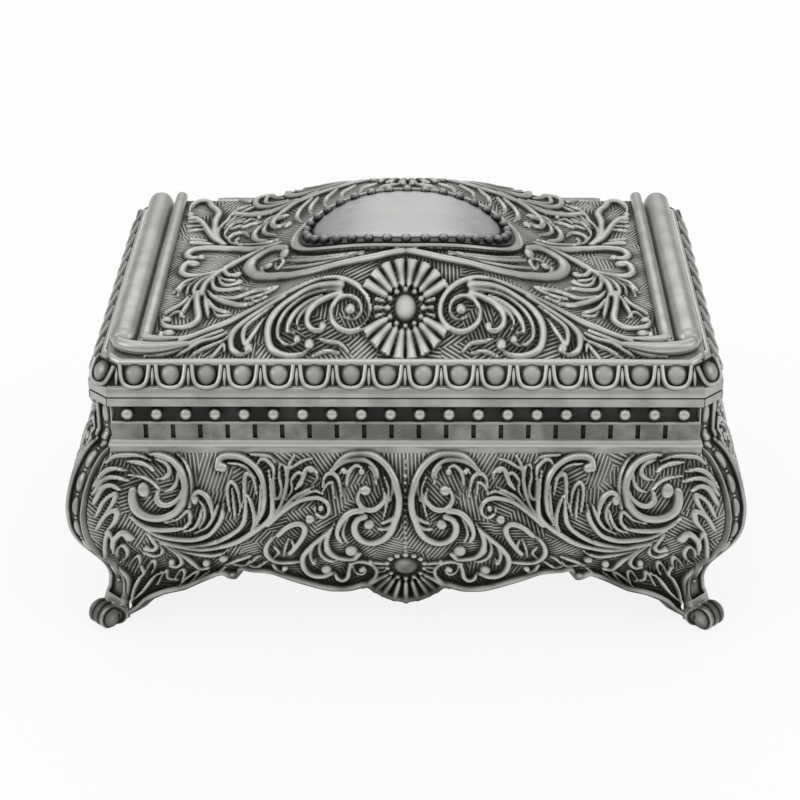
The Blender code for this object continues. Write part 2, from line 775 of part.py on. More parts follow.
def post_mesh():
    """A corner post with its foot, the diagonal along +X and the rim's cut corner at x = 0."""
    mesh = prism(
        "corner_post",
        post_section(),
        lambda out, z: (out, -POST_HALF_WIDTH, z),
        lambda out, z: (out, POST_HALF_WIDTH, z),
    )
    mesh = combine(mesh, post_recess_cutter(), "DIFFERENCE")
    mesh = combine(mesh, toe_lobe(), "UNION")
    for side in (-1, 1):
        mesh = combine(mesh, foot_lobe(side), "UNION")
    reach = SCROLL_OUT + 2 * SCROLL_RADIUS + LOBE_LENGTH
    ground = box_mesh("ground", (-reach, -reach, -LOBE_RADIUS), (reach, reach, 0))
    return combine(mesh, ground, "DIFFERENCE")


def build_posts(pewter):
    """The four corner posts, one at each cut corner."""
    mesh = post_mesh()
    x = HALF_WIDTH - CORNER_CUT / 2
    y = HALF_DEPTH - CORNER_CUT / 2
    corners = (
        ("front_left", -x, -y, -3),
        ("front_right", x, -y, -1),
        ("rear_right", x, y, 1),
        ("rear_left", -x, y, 3),
    )
    for name, across, along, eighths in corners:
        turn = eighths * math.pi / 4
        place(f"corner_post_{name}", mesh, pewter, (across, along, 0), (0, 0, turn))


def cut_rectangle(half_x, half_y, cut):
    """A rectangle with its four corners cut off at 45 degrees."""
    return [
        (half_x - cut, -half_y),
        (half_x, -half_y + cut),
        (half_x, half_y - cut),
        (half_x - cut, half_y),
        (-half_x + cut, half_y),
        (-half_x, half_y - cut),
        (-half_x, -half_y + cut),
        (-half_x + cut, -half_y),
    ]


def build_floor(pewter):
    """The plate that closes the body above the feet."""
    out = belly_out(FLOOR_BASE)
    half_x = HALF_WIDTH + out - WALL - SEAM
    half_y = HALF_DEPTH + out - WALL - SEAM
    post_back = out * math.sqrt(2) - POST_WALL - SEAM
    corner_sum = half_x + half_y
    post_sum = HALF_WIDTH + HALF_DEPTH - CORNER_CUT + post_back * math.sqrt(2)
    outline = cut_rectangle(half_x, half_y, corner_sum - post_sum)
    mesh = prism(
        "floor_plate",
        outline,
        lambda x, y: (x, y, FLOOR_BASE),
        lambda x, y: (x, y, FLOOR_TOP),
    )
    place("floor_plate", mesh, pewter)


def pad_mesh(name, half_x, half_y, thickness, crown):
    """A thin padded board on z = 0 with a crowned top and sides drawn in at both edges."""
    points = []
    rings = []
    levels = ((PAD_EDGE, 0), (0, thickness / 2), (PAD_EDGE, thickness))
    border = [(i, 0) for i in range(PAD_COLUMNS)]
    border += [(PAD_COLUMNS, j) for j in range(PAD_ROWS)]
    border += [(PAD_COLUMNS - i, PAD_ROWS) for i in range(PAD_COLUMNS)]
    border += [(0, PAD_ROWS - j) for j in range(PAD_ROWS)]
    for inset, height in levels:
        rings.append([])
        for i, j in border:
            rings[-1].append(len(points))
            x = (2 * i / PAD_COLUMNS - 1) * (half_x - inset)
            y = (2 * j / PAD_ROWS - 1) * (half_y - inset)
            points.append((x, y, height))
    grid = dict(zip(border, rings[-1]))
    for i in range(1, PAD_COLUMNS):
        for j in range(1, PAD_ROWS):
            grid[(i, j)] = len(points)
            across = 2 * i / PAD_COLUMNS - 1
            along = 2 * j / PAD_ROWS - 1
            swell = (1 - across**4) * (1 - along**4)
            x = across * (half_x - PAD_EDGE)
            y = along * (half_y - PAD_EDGE)
            points.append((x, y, thickness + crown * swell))
    faces = [tuple(rings[0])]
    for lower, upper in zip(rings, rings[1:]):
        for k in range(len(border)):
            n = (k + 1) % len(border)
            faces.append((lower[k], lower[n], upper[n], upper[k]))
    for i in range(PAD_COLUMNS):
        for j in range(PAD_ROWS):
            corners = ((i, j), (i + 1, j), (i + 1, j + 1), (i, j + 1))
            faces.append(tuple(grid[corner] for corner in corners))
    return mesh_from(name, points, faces)


def build_linings(velvet):
    """Padded boards on the four walls and on the floor."""
    quarter = math.pi / 2
    base = FLOOR_TOP + SEAM
    top = PARTING_HEIGHT - LINING_TOP_ROOM
    middle = (base + top) / 2
    half_height = (top - base) / 2
    back_x = HALF_WIDTH - LINING_INSET
    back_y = HALF_DEPTH - LINING_INSET
    face_x = back_x - LINING_THICKNESS
    post_back = -POST_NECK_INSET * math.sqrt(2) - POST_WALL - SEAM
    post_sum = HALF_WIDTH + HALF_DEPTH - CORNER_CUT + post_back * math.sqrt(2)
    front_half = min(face_x - SEAM, post_sum - back_y)
    side_half = min(back_y - LINING_THICKNESS - SEAM, post_sum - back_x)
    front = pad_mesh("front_lining", front_half, half_height, LINING_THICKNESS, LINING_CROWN)
    side = pad_mesh("side_lining", half_height, side_half, LINING_THICKNESS, LINING_CROWN)
    place("front_lining", front, velvet, (0, -back_y, middle), (-quarter, 0, 0))
    place("rear_lining", front, velvet, (0, back_y, middle), (quarter, 0, 0))
    place("right_lining", side, velvet, (back_x, 0, middle), (0, -quarter, 0))
    place("left_lining", side, velvet, (-back_x, 0, middle), (0, quarter, 0))
    floor_x = face_x - LINING_CROWN - SEAM
    floor_y = back_y - LINING_THICKNESS - LINING_CROWN - SEAM
    floor = pad_mesh("floor_pad", floor_x, floor_y, FLOOR_PAD_THICKNESS, FLOOR_PAD_CROWN)
    place("floor_pad", floor, velvet, (0, 0, base))


def smaller_of(first, second, blend):
    """The smaller of two heights, rounded over where they meet."""
    gap = first - second
    return (first + second - math.sqrt(gap * gap + blend * blend)) / 2


def field_height(x, y):
    """Height of the lid's humped field above the lid's lower edge."""
    hump = HUMP_HEIGHT - HUMP_FOOT_HEIGHT
    vault = HUMP_FOOT_HEIGHT + hump * ogee(abs(x) / HUMP_HALF_WIDTH)
    slim_inset = RAIL_INSET + RAIL_RADIUS + RAIL_GROOVE + SLIM_RAIL_RADIUS
    if abs(x) > HALF_WIDTH - slim_inset:
        vault = RAIL_SEAT_HEIGHT
    reach = HALF_DEPTH - FIELD_INSET - abs(y)
    hip = FIELD_EDGE_HEIGHT + HIP_SLOPE_SHARE * reach
    return smaller_of(vault, hip, HIP_BLEND)


def lid_crest(x, y):
    """A point on the crests of the lid's carving."""
    return Vector((x, y, LID_BASE + field_height(x, y)))


def ground_height(x, y):
    """Height of the ground between the lid's carved bands, above the lid's lower edge."""
    sunk = abs(x) < GROUND_HALF_WIDTH
    return field_height(x, y) - (CARVED_DEPTH if sunk else 0)


def lid_carving():
    """The bands and the two rosettes on the lid, in groups."""
    groups = [mirrored_bands(row, HALF_WIDTH, HALF_DEPTH, lid_crest) for row in LID_SHARES]
    turns = [2 * math.pi * k / ROSETTE_PETALS for k in range(ROSETTE_PETALS)]
    for side in (-1, 1):
        middle = (0, side * ROSETTE_PLACE_SHARE * HALF_DEPTH)
        groups.append(petals(middle, turns, ROSETTE_REACH, lid_crest))
        groups.append([boss(middle, ROSETTE_BOSS, lid_crest)])
    return groups


def lid_border():
    """Places round the edge of a grid, as (column, row), starting at the front left corner."""
    border = [(i, 0) for i in range(LID_COLUMNS)]
    border += [(LID_COLUMNS, j) for j in range(LID_ROWS)]
    border += [(LID_COLUMNS - i, LID_ROWS) for i in range(LID_COLUMNS)]
    border += [(0, LID_ROWS - j) for j in range(LID_ROWS)]
    return border


def border_point(i, j, inset):
    """A point on the lid's outline moved in by an inset, with the corners cut."""
    half_x = HALF_WIDTH - inset
    half_y = HALF_DEPTH - inset
    cut = CORNER_CUT
    if i in (0, LID_COLUMNS) and j in (0, LID_ROWS):
        side_x = 1 if i else -1
        side_y = 1 if j else -1
        return side_x * (half_x - cut / 2), side_y * (half_y - cut / 2)
    if j in (0, LID_ROWS):
        share = 2 * (i - 1) / (LID_COLUMNS - 2) - 1
        return share * (half_x - cut), half_y if j else -half_y
    share = 2 * (j - 1) / (LID_ROWS - 2) - 1
    return half_x if i else -half_x, share * (half_y - cut)


def column_shares():
    """Places of the grid's columns over the field: close at the rails, even between them."""
    edge = HALF_WIDTH - FIELD_INSET
    slim = HALF_WIDTH - RAIL_INSET - RAIL_RADIUS - RAIL_GROOVE - SLIM_RAIL_RADIUS
    left = [-1, (-edge + FIELD_SINK * 2) / edge, (-slim - SLIM_RAIL_RADIUS / 2) / edge]
    left.append(-GROUND_HALF_WIDTH / edge)
    middle_count = LID_COLUMNS - 2 * len(left)
    start = (-GROUND_HALF_WIDTH + SEAM) / edge
    middle = [start - 2 * start * k / middle_count for k in range(middle_count + 1)]
    return left + middle + [-share for share in reversed(left)]


def lid_shell():
    """The lid as a solid: band, sloping border and frame in rings, then the field."""
    levels = (
        (0, 0),
        (0, LID_BAND),
        (BORDER_INSET, LID_BAND + BORDER_RISE),
        (BORDER_INSET + FRAME_WIDTH * FRAME_TOP_SHARES[0], LID_BAND + BORDER_RISE + FRAME_RISE),
        (BORDER_INSET + FRAME_WIDTH * FRAME_TOP_SHARES[1], LID_BAND + BORDER_RISE + FRAME_RISE),
    )
    border = lid_border()
    points = []
    rings = []
    for inset, rise in levels:
        rings.append([])
        for i, j in border:
            x, y = border_point(i, j, inset)
            rings[-1].append(len(points))
            points.append((x, y, LID_BASE + rise))
    grid = {}
    half_x = HALF_WIDTH - FIELD_INSET
    half_y = HALF_DEPTH - FIELD_INSET
    columns = column_shares()
    for i in range(LID_COLUMNS + 1):
        for j in range(LID_ROWS + 1):
            x = columns[i] * half_x
            y = (2 * j / LID_ROWS - 1) * half_y
            if i in (0, LID_COLUMNS) and j in (0, LID_ROWS):
                x, y = border_point(i, j, FIELD_INSET)
            elif j in (0, LID_ROWS):
                x = max(CORNER_CUT - half_x, min(half_x - CORNER_CUT, x))
            grid[(i, j)] = len(points)
            rise = FIELD_EDGE_HEIGHT if (i, j) in border else ground_height(x, y)
            points.append((x, y, LID_BASE + rise))
    rings.append([grid[place_at] for place_at in border])
    faces = [tuple(rings[0])]
    for lower, upper in zip(rings, rings[1:]):
        for k in range(len(border)):
            n = (k + 1) % len(border)
            faces.append((lower[k], lower[n], upper[n], upper[k]))
    for i in range(LID_COLUMNS):
        for j in range(LID_ROWS):
            corners = ((i, j), (i + 1, j), (i + 1, j + 1), (i, j + 1))
            faces.append(tuple(grid[corner] for corner in corners))
    return mesh_from("lid_casting", points, faces)


def lid_hollow():
    """What is cut out of the lid from below, so that its wall follows the hump."""
    half_x = HALF_WIDTH - BORDER_INSET - LID_WALL
    half_y = HALF_DEPTH - BORDER_INSET - LID_WALL
    points = []
    grid = {}
    for i in range(HOLLOW_COLUMNS + 1):
        for j in range(HOLLOW_ROWS + 1):
            x = (2 * i / HOLLOW_COLUMNS - 1) * half_x
            y = (2 * j / HOLLOW_ROWS - 1) * half_y
            grid[(i, j)] = len(points)
            points.append((x, y, LID_BASE + field_height(x, y) - LID_WALL))
    floor = {}
    edge = [(i, j) for i, j in grid if i in (0, HOLLOW_COLUMNS) or j in (0, HOLLOW_ROWS)]
    for place_at in edge:
        floor[place_at] = len(points)
        x, y, _ = points[grid[place_at]]
        points.append((x, y, LID_BASE - CUT_OVERRUN))
    order = [(i, 0) for i in range(HOLLOW_COLUMNS)]
    order += [(HOLLOW_COLUMNS, j) for j in range(HOLLOW_ROWS)]
    order += [(HOLLOW_COLUMNS - i, HOLLOW_ROWS) for i in range(HOLLOW_COLUMNS)]
    order += [(0, HOLLOW_ROWS - j) for j in range(HOLLOW_ROWS)]
    faces = [tuple(floor[place_at] for place_at in order)]
    for k, place_at in enumerate(order):
        following = order[(k + 1) % len(order)]
        faces.append((floor[place_at], floor[following], grid[following], grid[place_at]))
    for i in range(HOLLOW_COLUMNS):
        for j in range(HOLLOW_ROWS):
            corners = ((i, j), (i + 1, j), (i + 1, j + 1), (i, j + 1))
            faces.append(tuple(grid[corner] for corner in corners))
    return mesh_from("lid_hollow", points, faces)


def rail(side, inset, radius, ridge):
    """A half-sunk round rail with domed ends, along one short side of the lid."""
    x = side * (HALF_WIDTH - inset)
    z = LID_BASE + ridge - radius
    half = HALF_DEPTH - RAIL_END_ROOM
    outline = [(0, 0)]
    for k in range(1, RAIL_END_RINGS + 1):
        turn = math.pi / 2 * k / RAIL_END_RINGS
        outline.append((radius * math.sin(turn), radius * (1 - math.cos(turn))))
    length = 2 * half
    outline += [(r, length - h) for r, h in reversed(outline[1:])]
    outline.append((0, length))
    half_step = Matrix.Rotation(math.pi / RAIL_SEGMENTS, 4, "Z")
    frame = pointing((x, -half, z), (0, 1, 0)) @ half_step
    return turned_mesh("rail", outline, RAIL_SEGMENTS, frame)


def border_egg(x, y, outward):
    """An egg lying on the lid's sloping border, its long axis up the slope."""
    slope = Vector((outward[0] * -BORDER_INSET, outward[1] * -BORDER_INSET, BORDER_RISE))
    up = slope.normalized()
    across = Vector((-outward[1], outward[0], 0))
    face = across.cross(up)
    frame = Matrix((across, face, up)).transposed().to_4x4()
    half_sizes = (EGG_WIDTH / 2, EGG_PROUD, EGG_LENGTH / 2)
    centre = (
        x - outward[0] * BORDER_INSET / 2,
        y - outward[1] * BORDER_INSET / 2,
        LID_BASE + LID_BAND + BORDER_RISE / 2,
    )
    return ball("egg", centre, half_sizes, frame, EGG_SEGMENTS, EGG_RINGS)


def border_eggs():
    """The eggs of the border: a row along each side and one on each cut corner."""
    eggs = []
    for x in spread(HALF_WIDTH, EGG_END_ROOM, EGG_PITCH):
        eggs.append(border_egg(x, -HALF_DEPTH, (0, -1)))
        if not on_hinge_pad(x, True, EGG_WIDTH / 2):
            eggs.append(border_egg(x, HALF_DEPTH, (0, 1)))
    for y in spread(HALF_DEPTH, EGG_END_ROOM, EGG_PITCH):
        eggs.append(border_egg(HALF_WIDTH, y, (1, 0)))
        eggs.append(border_egg(-HALF_WIDTH, y, (-1, 0)))
    share = 1 / math.sqrt(2)
    for side_x in (-1, 1):
        for side_y in (-1, 1):
            x = side_x * (HALF_WIDTH - CORNER_CUT / 2)
            y = side_y * (HALF_DEPTH - CORNER_CUT / 2)
            eggs.append(border_egg(x, y, (side_x * share, side_y * share)))
    return joined_mesh("border_eggs", eggs)


def lid_hinge_pads(mesh):
    """Add the two flat pads that carry the lid leaves, with their screw holes."""
    half = HINGE_WIDTH / 2 + HINGE_PAD_MARGIN
    for side in (-1, 1):
        across = side * HINGE_SPREAD
        low = (across - half, HALF_DEPTH - LID_WALL, LID_BASE + SEAM)
        high = (across + half, HALF_DEPTH + HINGE_PAD_PROUD, LID_BASE + LID_PAD_HEIGHT)
        mesh = combine(mesh, box_mesh("lid_hinge_pad", low, high), "UNION")
    holes = []
    for side in (-1, 1):
        for offset in screw_places():
            x = side * HINGE_SPREAD + offset
            start = (x, HALF_DEPTH - SCREW_DEPTH - SEAM, lid_screw_height())
            end = (x, HALF_DEPTH + CUT_OVERRUN, lid_screw_height())
            radius = SCREW_SHANK_RADIUS + PIN_CLEARANCE
            holes.append(rod("screw_hole", start, end, radius, SCREW_SEGMENTS))
    return combine(mesh, joined_mesh("screw_holes", holes), "DIFFERENCE")


def oval(share, turn):
    """A point of the plaque's outline, or of a ring inside it."""
    x = PLAQUE_HALF_WIDTH * share * math.cos(turn)
    y = PLAQUE_HALF_DEPTH * share * math.sin(turn)
    return x, y


def plaque_rim():
    """The raised wire that runs round the plaque on the hump."""
    points = []
    grow = 1 + (RIM_WIRE + SEAM) / PLAQUE_HALF_DEPTH
    rings = []
    for k in range(PLAQUE_POINTS):
        turn = 2 * math.pi * k / PLAQUE_POINTS
        x, y = oval(grow, turn)
        outward = Vector((math.cos(turn), math.sin(turn), 0))
        z = LID_BASE + field_height(x, y)
        rings.append([])
        for n in range(RIM_WIRE_SIDES):
            lean = 2 * math.pi * (n + 0.5) / RIM_WIRE_SIDES
            rings[-1].append(len(points))
            spot = Vector((x, y, z)) + outward * RIM_WIRE * math.cos(lean)
            spot.z += RIM_WIRE * math.sin(lean)
            points.append(spot)
    faces = []
    for k in range(PLAQUE_POINTS):
        ring = rings[k]
        following = rings[(k + 1) % PLAQUE_POINTS]
        for n in range(RIM_WIRE_SIDES):
            m = (n + 1) % RIM_WIRE_SIDES
            faces.append((ring[n], ring[m], following[m], following[n]))
    return mesh_from("plaque_rim", points, faces)


def oval_plate(name, base, thickness, margin):
    """A thin oval plate curved like the hump, its underside a base height above the crests."""
    reach = PLAQUE_HALF_WIDTH + margin + CUT_OVERRUN
    lower = []
    for k in range(PLAQUE_STRIPS + 1):
        x = (2 * k / PLAQUE_STRIPS - 1) * reach
        lower.append((x, LID_BASE + field_height(x, 0) + base))
    upper = [(x, z + thickness) for x, z in reversed(lower)]
    sheet = prism(
        name,
        lower + upper,
        lambda x, z: (x, -reach, z),
        lambda x, z: (x, reach, z),
    )
    grow = 1 + margin / PLAQUE_HALF_DEPTH
    outline = [oval(grow, 2 * math.pi * k / PLAQUE_POINTS) for k in range(PLAQUE_POINTS)]
    column = prism(
        "plaque_outline",
        outline,
        lambda x, y: (x, y, LID_BASE),
        lambda x, y: (x, y, LID_BASE + 2 * HUMP_HEIGHT),
    )
    return combine(sheet, column, "INTERSECT")


def plaque_beads():
    """The ring of beads on the plaque's edge."""
    radius = PLAQUE_BEAD_DIAMETER / 2
    inset_share = 1 - radius / PLAQUE_HALF_DEPTH
    beads = []
    for k in range(PLAQUE_BEADS):
        x, y = oval(inset_share, 2 * math.pi * (k + 0.5) / PLAQUE_BEADS)
        z = LID_BASE + field_height(x, 0) + SEAM + PLAQUE_THICKNESS
        sizes = (radius, radius, radius)
        bead = ball("bead", (x, y, z), sizes, Matrix(), PLAQUE_BEAD_SEGMENTS, PLAQUE_BEAD_RINGS)
        beads.append(bead)
    return joined_mesh("plaque_beads", beads)


def build_lid(pewter, brushed, velvet, pivot):
    """The lid casting, its plaque and its padded board, all turning with the pivot."""
    root = CARVED_DEPTH + CARVED_ROOT
    seat = oval_plate("plaque_seat", -root, root, RIM_WIRE)
    mesh = carve(combine(lid_shell(), seat, "UNION"), lid_carving())
    slim_inset = RAIL_INSET + RAIL_RADIUS + RAIL_GROOVE + SLIM_RAIL_RADIUS
    for side in (-1, 1):
        mesh = combine(mesh, rail(side, RAIL_INSET, RAIL_RADIUS, RAIL_RIDGE_HEIGHT), "UNION")
        mesh = combine(mesh, rail(side, slim_inset, SLIM_RAIL_RADIUS, SLIM_RIDGE_HEIGHT), "UNION")
    mesh = lid_hinge_pads(combine(mesh, lid_hollow(), "DIFFERENCE"))
    mesh = combine(mesh, plaque_rim(), "UNION")
    mesh = combine(mesh, border_eggs(), "UNION")
    place("lid_casting", mesh, pewter, parent=pivot)
    plate = oval_plate("plaque", SEAM, PLAQUE_THICKNESS, 0)
    plaque = combine(plate, plaque_beads(), "UNION")
    place("name_plaque", plaque, brushed, parent=pivot)
    half_x = HALF_WIDTH - BORDER_INSET - LID_WALL - SEAM
    half_y = HALF_DEPTH - BORDER_INSET - LID_WALL - SEAM
    board = pad_mesh("lid_board", half_x, half_y, LID_BOARD_THICKNESS, LID_BOARD_CROWN)
    height = LID_BASE + LID_BOARD_RECESS + LID_BOARD_THICKNESS + LID_BOARD_CROWN
    place("lid_lining", board, velvet, (0, 0, height), (math.pi, 0, 0), pivot)


def knuckle(start, length):
    """One barrel of a hinge, drawn along X."""
    near = (start, AXIS_Y, AXIS_Z)
    far = (start + length, AXIS_Y, AXIS_Z)
    return rod("knuckle", near, far, BARREL_RADIUS, BARREL_SEGMENTS)


def knuckle_starts():
    """Where the three barrels of a hinge begin, from its middle."""
    first = -HINGE_WIDTH / 2
    return [first + k * (KNUCKLE_LENGTH + SEAM) for k in range(3)]


def bore_and_holes(mesh, height):
    """Bore a leaf's barrels for the pin, and its plate for the screws."""
    far = HINGE_WIDTH / 2 + CUT_OVERRUN
    ends = ((-far, AXIS_Y, AXIS_Z), (far, AXIS_Y, AXIS_Z))
    bore = rod("bore", ends[0], ends[1], PIN_RADIUS + PIN_CLEARANCE, SCREW_SEGMENTS)
    mesh = combine(mesh, bore, "DIFFERENCE")
    holes = []
    for offset in screw_places():
        start = (offset, HINGE_FACE - CUT_OVERRUN, height)
        end = (offset, HINGE_FACE + LEAF_THICKNESS + CUT_OVERRUN, height)
        holes.append(rod("hole", start, end, SCREW_SHANK_RADIUS + PIN_CLEARANCE, SCREW_SEGMENTS))
    return combine(mesh, joined_mesh("holes", holes), "DIFFERENCE")


def leaf_mesh(side, height, barrels):
    """A hinge leaf: a flat plate above or below the axis, tabs and barrels at its knuckles."""
    half = HINGE_WIDTH / 2
    near = AXIS_Z + side * KNUCKLE_CLEARANCE
    far = AXIS_Z + side * height
    back = HINGE_FACE + LEAF_THICKNESS
    low = (-half, HINGE_FACE, min(near, far))
    high = (half, back, max(near, far))
    mesh = box_mesh("leaf", low, high)
    overlap = side * LEAF_THICKNESS
    for start in barrels:
        low = (start, HINGE_FACE, min(AXIS_Z, near + overlap))
        high = (start + KNUCKLE_LENGTH, back, max(AXIS_Z, near + overlap))
        mesh = combine(mesh, box_mesh("tab", low, high), "UNION")
        mesh = combine(mesh, knuckle(start, KNUCKLE_LENGTH), "UNION")
    return mesh


def stop_heel(start):
    """The lug that stops the lid: it meets the body leaf when the lid is fully open."""
    opening = math.radians(LID_OPENING_DEGREES)
    contact = HINGE_FACE + LEAF_THICKNESS + SEAM - AXIS_Y
    outline = (
        (contact, -HEEL_REACH),
        (contact + HEEL_THICKNESS, -HEEL_REACH),
        (contact + HEEL_THICKNESS, 0),
        (contact, 0),
    )
    closed = []
    for out, up in outline:
        y = out * math.cos(opening) - up * math.sin(opening)
        z = out * math.sin(opening) + up * math.cos(opening)
        closed.append((AXIS_Y + y, AXIS_Z + z))
    inset = KNUCKLE_LENGTH / 8
    return prism(
        "stop_heel",
        closed,
        lambda y, z: (start + inset, y, z),
        lambda y, z: (start + KNUCKLE_LENGTH - inset, y, z),
    )


def pin_mesh():
    """The hinge pin with a small upset head at each end."""
    half = HINGE_WIDTH / 2 + SEAM
    outline = (
        (0, -half - PIN_HEAD_LENGTH),
        (PIN_HEAD_RADIUS, -half - PIN_HEAD_LENGTH),
        (PIN_HEAD_RADIUS, -half),
        (PIN_RADIUS, -half),
        (PIN_RADIUS, half),
        (PIN_HEAD_RADIUS, half),
        (PIN_HEAD_RADIUS, half + PIN_HEAD_LENGTH),
        (0, half + PIN_HEAD_LENGTH),
    )
    frame = pointing((0, AXIS_Y, AXIS_Z), (1, 0, 0))
    return turned_mesh("hinge_pin", outline, SCREW_SEGMENTS, frame)


def screw_mesh():
    """A small round-headed screw along +Y, the seat of its head at y = 0."""
    shank = SCREW_DEPTH + HINGE_PAD_PROUD + SEAM + LEAF_THICKNESS + SEAM
    outline = (
        (0, -shank),
        (SCREW_SHANK_RADIUS, -shank),
        (SCREW_SHANK_RADIUS, 0),
        (SCREW_HEAD_RADIUS, 0),
        (SCREW_HEAD_RADIUS, SCREW_HEAD_HEIGHT / 2),
        (SCREW_HEAD_RADIUS / 2, SCREW_HEAD_HEIGHT),
        (0, SCREW_HEAD_HEIGHT),
    )
    return turned_mesh("screw", outline, SCREW_SEGMENTS, pointing((0, 0, 0), (0, 1, 0)))


def build_hinges(steel, pivot):
    """Two three-knuckle hinges with their pins and screws."""
    first, second, third = knuckle_starts()
    body_leaf = leaf_mesh(-1, BODY_LEAF_HEIGHT, (first, third))
    body_leaf = bore_and_holes(body_leaf, body_screw_height())
    lid_leaf = leaf_mesh(1, LID_LEAF_HEIGHT, (second,))
    lid_leaf = combine(lid_leaf, stop_heel(second), "UNION")
    lid_leaf = bore_and_holes(lid_leaf, lid_screw_height())
    pin = pin_mesh()
    screw = screw_mesh()
    seat = HINGE_FACE + LEAF_THICKNESS + SEAM
    for side, word in ((-1, "left"), (1, "right")):
        across = side * HINGE_SPREAD
        place(f"hinge_{word}_body_leaf", body_leaf, steel, (across, 0, 0))
        place(f"hinge_{word}_pin", pin, steel, (across, 0, 0))
        place(f"hinge_{word}_lid_leaf", lid_leaf, steel, (across, 0, 0), parent=pivot)
        for number, offset in enumerate(screw_places(), 1):
            x = across + offset
            body_place = (x, seat, body_screw_height())
            lid_place = (x, seat, lid_screw_height())
            place(f"hinge_{word}_body_screw_{number}", screw, steel, body_place)
            place(f"hinge_{word}_lid_screw_{number}", screw, steel, lid_place, parent=pivot)


def make_pivot():
    """An empty on the hinge axis that everything on the lid turns with."""
    pivot = bpy.data.objects.new("lid_pivot", None)
    bpy.context.scene.collection.objects.link(pivot)
    pivot.location = (0, AXIS_Y, AXIS_Z)
    bpy.context.view_layer.update()
    return pivot


def build():
    """Build the whole box, closed."""
    clear_scene()
    pewter = make_material("antique_pewter", PEWTER_FINISH)
    brushed = make_material("brushed_pewter", BRUSHED_FINISH)
    steel = make_material("hinge_steel", STEEL_FINISH)
    velvet = make_material("velvet", VELVET_FINISH)
    pivot = make_pivot()
    build_panels(pewter)
    build_posts(pewter)
    build_floor(pewter)
    build_linings(velvet)
    build_lid(pewter, brushed, velvet, pivot)
    build_hinges(steel, pivot)


build()
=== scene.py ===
"""The looks of a footed metal trinket box: carved panels, posts, lid, plaque and velvet.

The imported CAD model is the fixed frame. Every casting is built again here as a dense closed
mesh whose carving is drawn from strokes, and stands for its CAD node. All places along a
panel or over the lid are in millimetres. Meshes are made in metres.
"""

import logging
import math
from dataclasses import dataclass
from enum import Enum
from typing import Iterable, Sequence

import bmesh
import bpy
import numpy as np
from mathutils import Matrix, Vector


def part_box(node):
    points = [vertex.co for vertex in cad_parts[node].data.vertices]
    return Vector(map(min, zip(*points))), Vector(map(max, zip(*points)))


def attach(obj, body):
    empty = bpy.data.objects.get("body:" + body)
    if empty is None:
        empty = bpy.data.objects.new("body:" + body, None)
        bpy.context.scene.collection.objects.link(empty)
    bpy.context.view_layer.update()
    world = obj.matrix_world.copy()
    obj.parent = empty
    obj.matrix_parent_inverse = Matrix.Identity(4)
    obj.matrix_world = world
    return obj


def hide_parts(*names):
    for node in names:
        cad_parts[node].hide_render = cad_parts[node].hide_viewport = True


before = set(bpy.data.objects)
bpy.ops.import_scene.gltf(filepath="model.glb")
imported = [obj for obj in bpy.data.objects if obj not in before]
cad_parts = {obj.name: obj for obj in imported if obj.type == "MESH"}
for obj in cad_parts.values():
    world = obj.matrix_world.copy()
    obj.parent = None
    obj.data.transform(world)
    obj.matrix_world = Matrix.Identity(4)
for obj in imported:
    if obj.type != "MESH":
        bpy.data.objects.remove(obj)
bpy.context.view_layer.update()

LOG = logging.getLogger("trinket_box")
MM = 0.001
Points = np.ndarray


class Taper(Enum):
    """How a carved stroke's width runs: at its start, its middle and its end."""

    EVEN = (1.0, 1.0, 1.0)
    TIP = (1.0, 0.9, 0.2)
    BUD = (0.2, 0.9, 1.0)
    LEAF = (0.2, 1.0, 0.2)


class Side(Enum):
    """A wall of the body: its CAD name and its quarter turns from the front."""

    FRONT = ("front", 0)
    RIGHT = ("right", 1)
    REAR = ("rear", 2)
    LEFT = ("left", 3)


@dataclass(frozen=True)
class Stroke:
    """A raised line of the carving.

    Attributes:
        taper: how its width runs.
        width: its full width in millimetres.
        path: the places that it passes, as x, y, x, y and so on.
    """

    taper: Taper
    width: float
    path: tuple[float, ...]

    LEAST_RISE = 0.42
    RISE_PER_WIDTH = 0.36

    def height(self) -> float:
        """The share of the carving's depth that the stroke rises, more for a wide one.

        Returns:
            The share, from 0 to 1.
        """
        return min(1.0, self.LEAST_RISE + self.RISE_PER_WIDTH * self.width)


@dataclass(frozen=True)
class Knob:
    """A raised ball or bud of the carving, an oval of two half sizes in millimetres."""

    x: float
    y: float
    half_x: float
    half_y: float
    height: float = 1.0


E, T, B, L = Taper.EVEN, Taper.TIP, Taper.BUD, Taper.LEAF

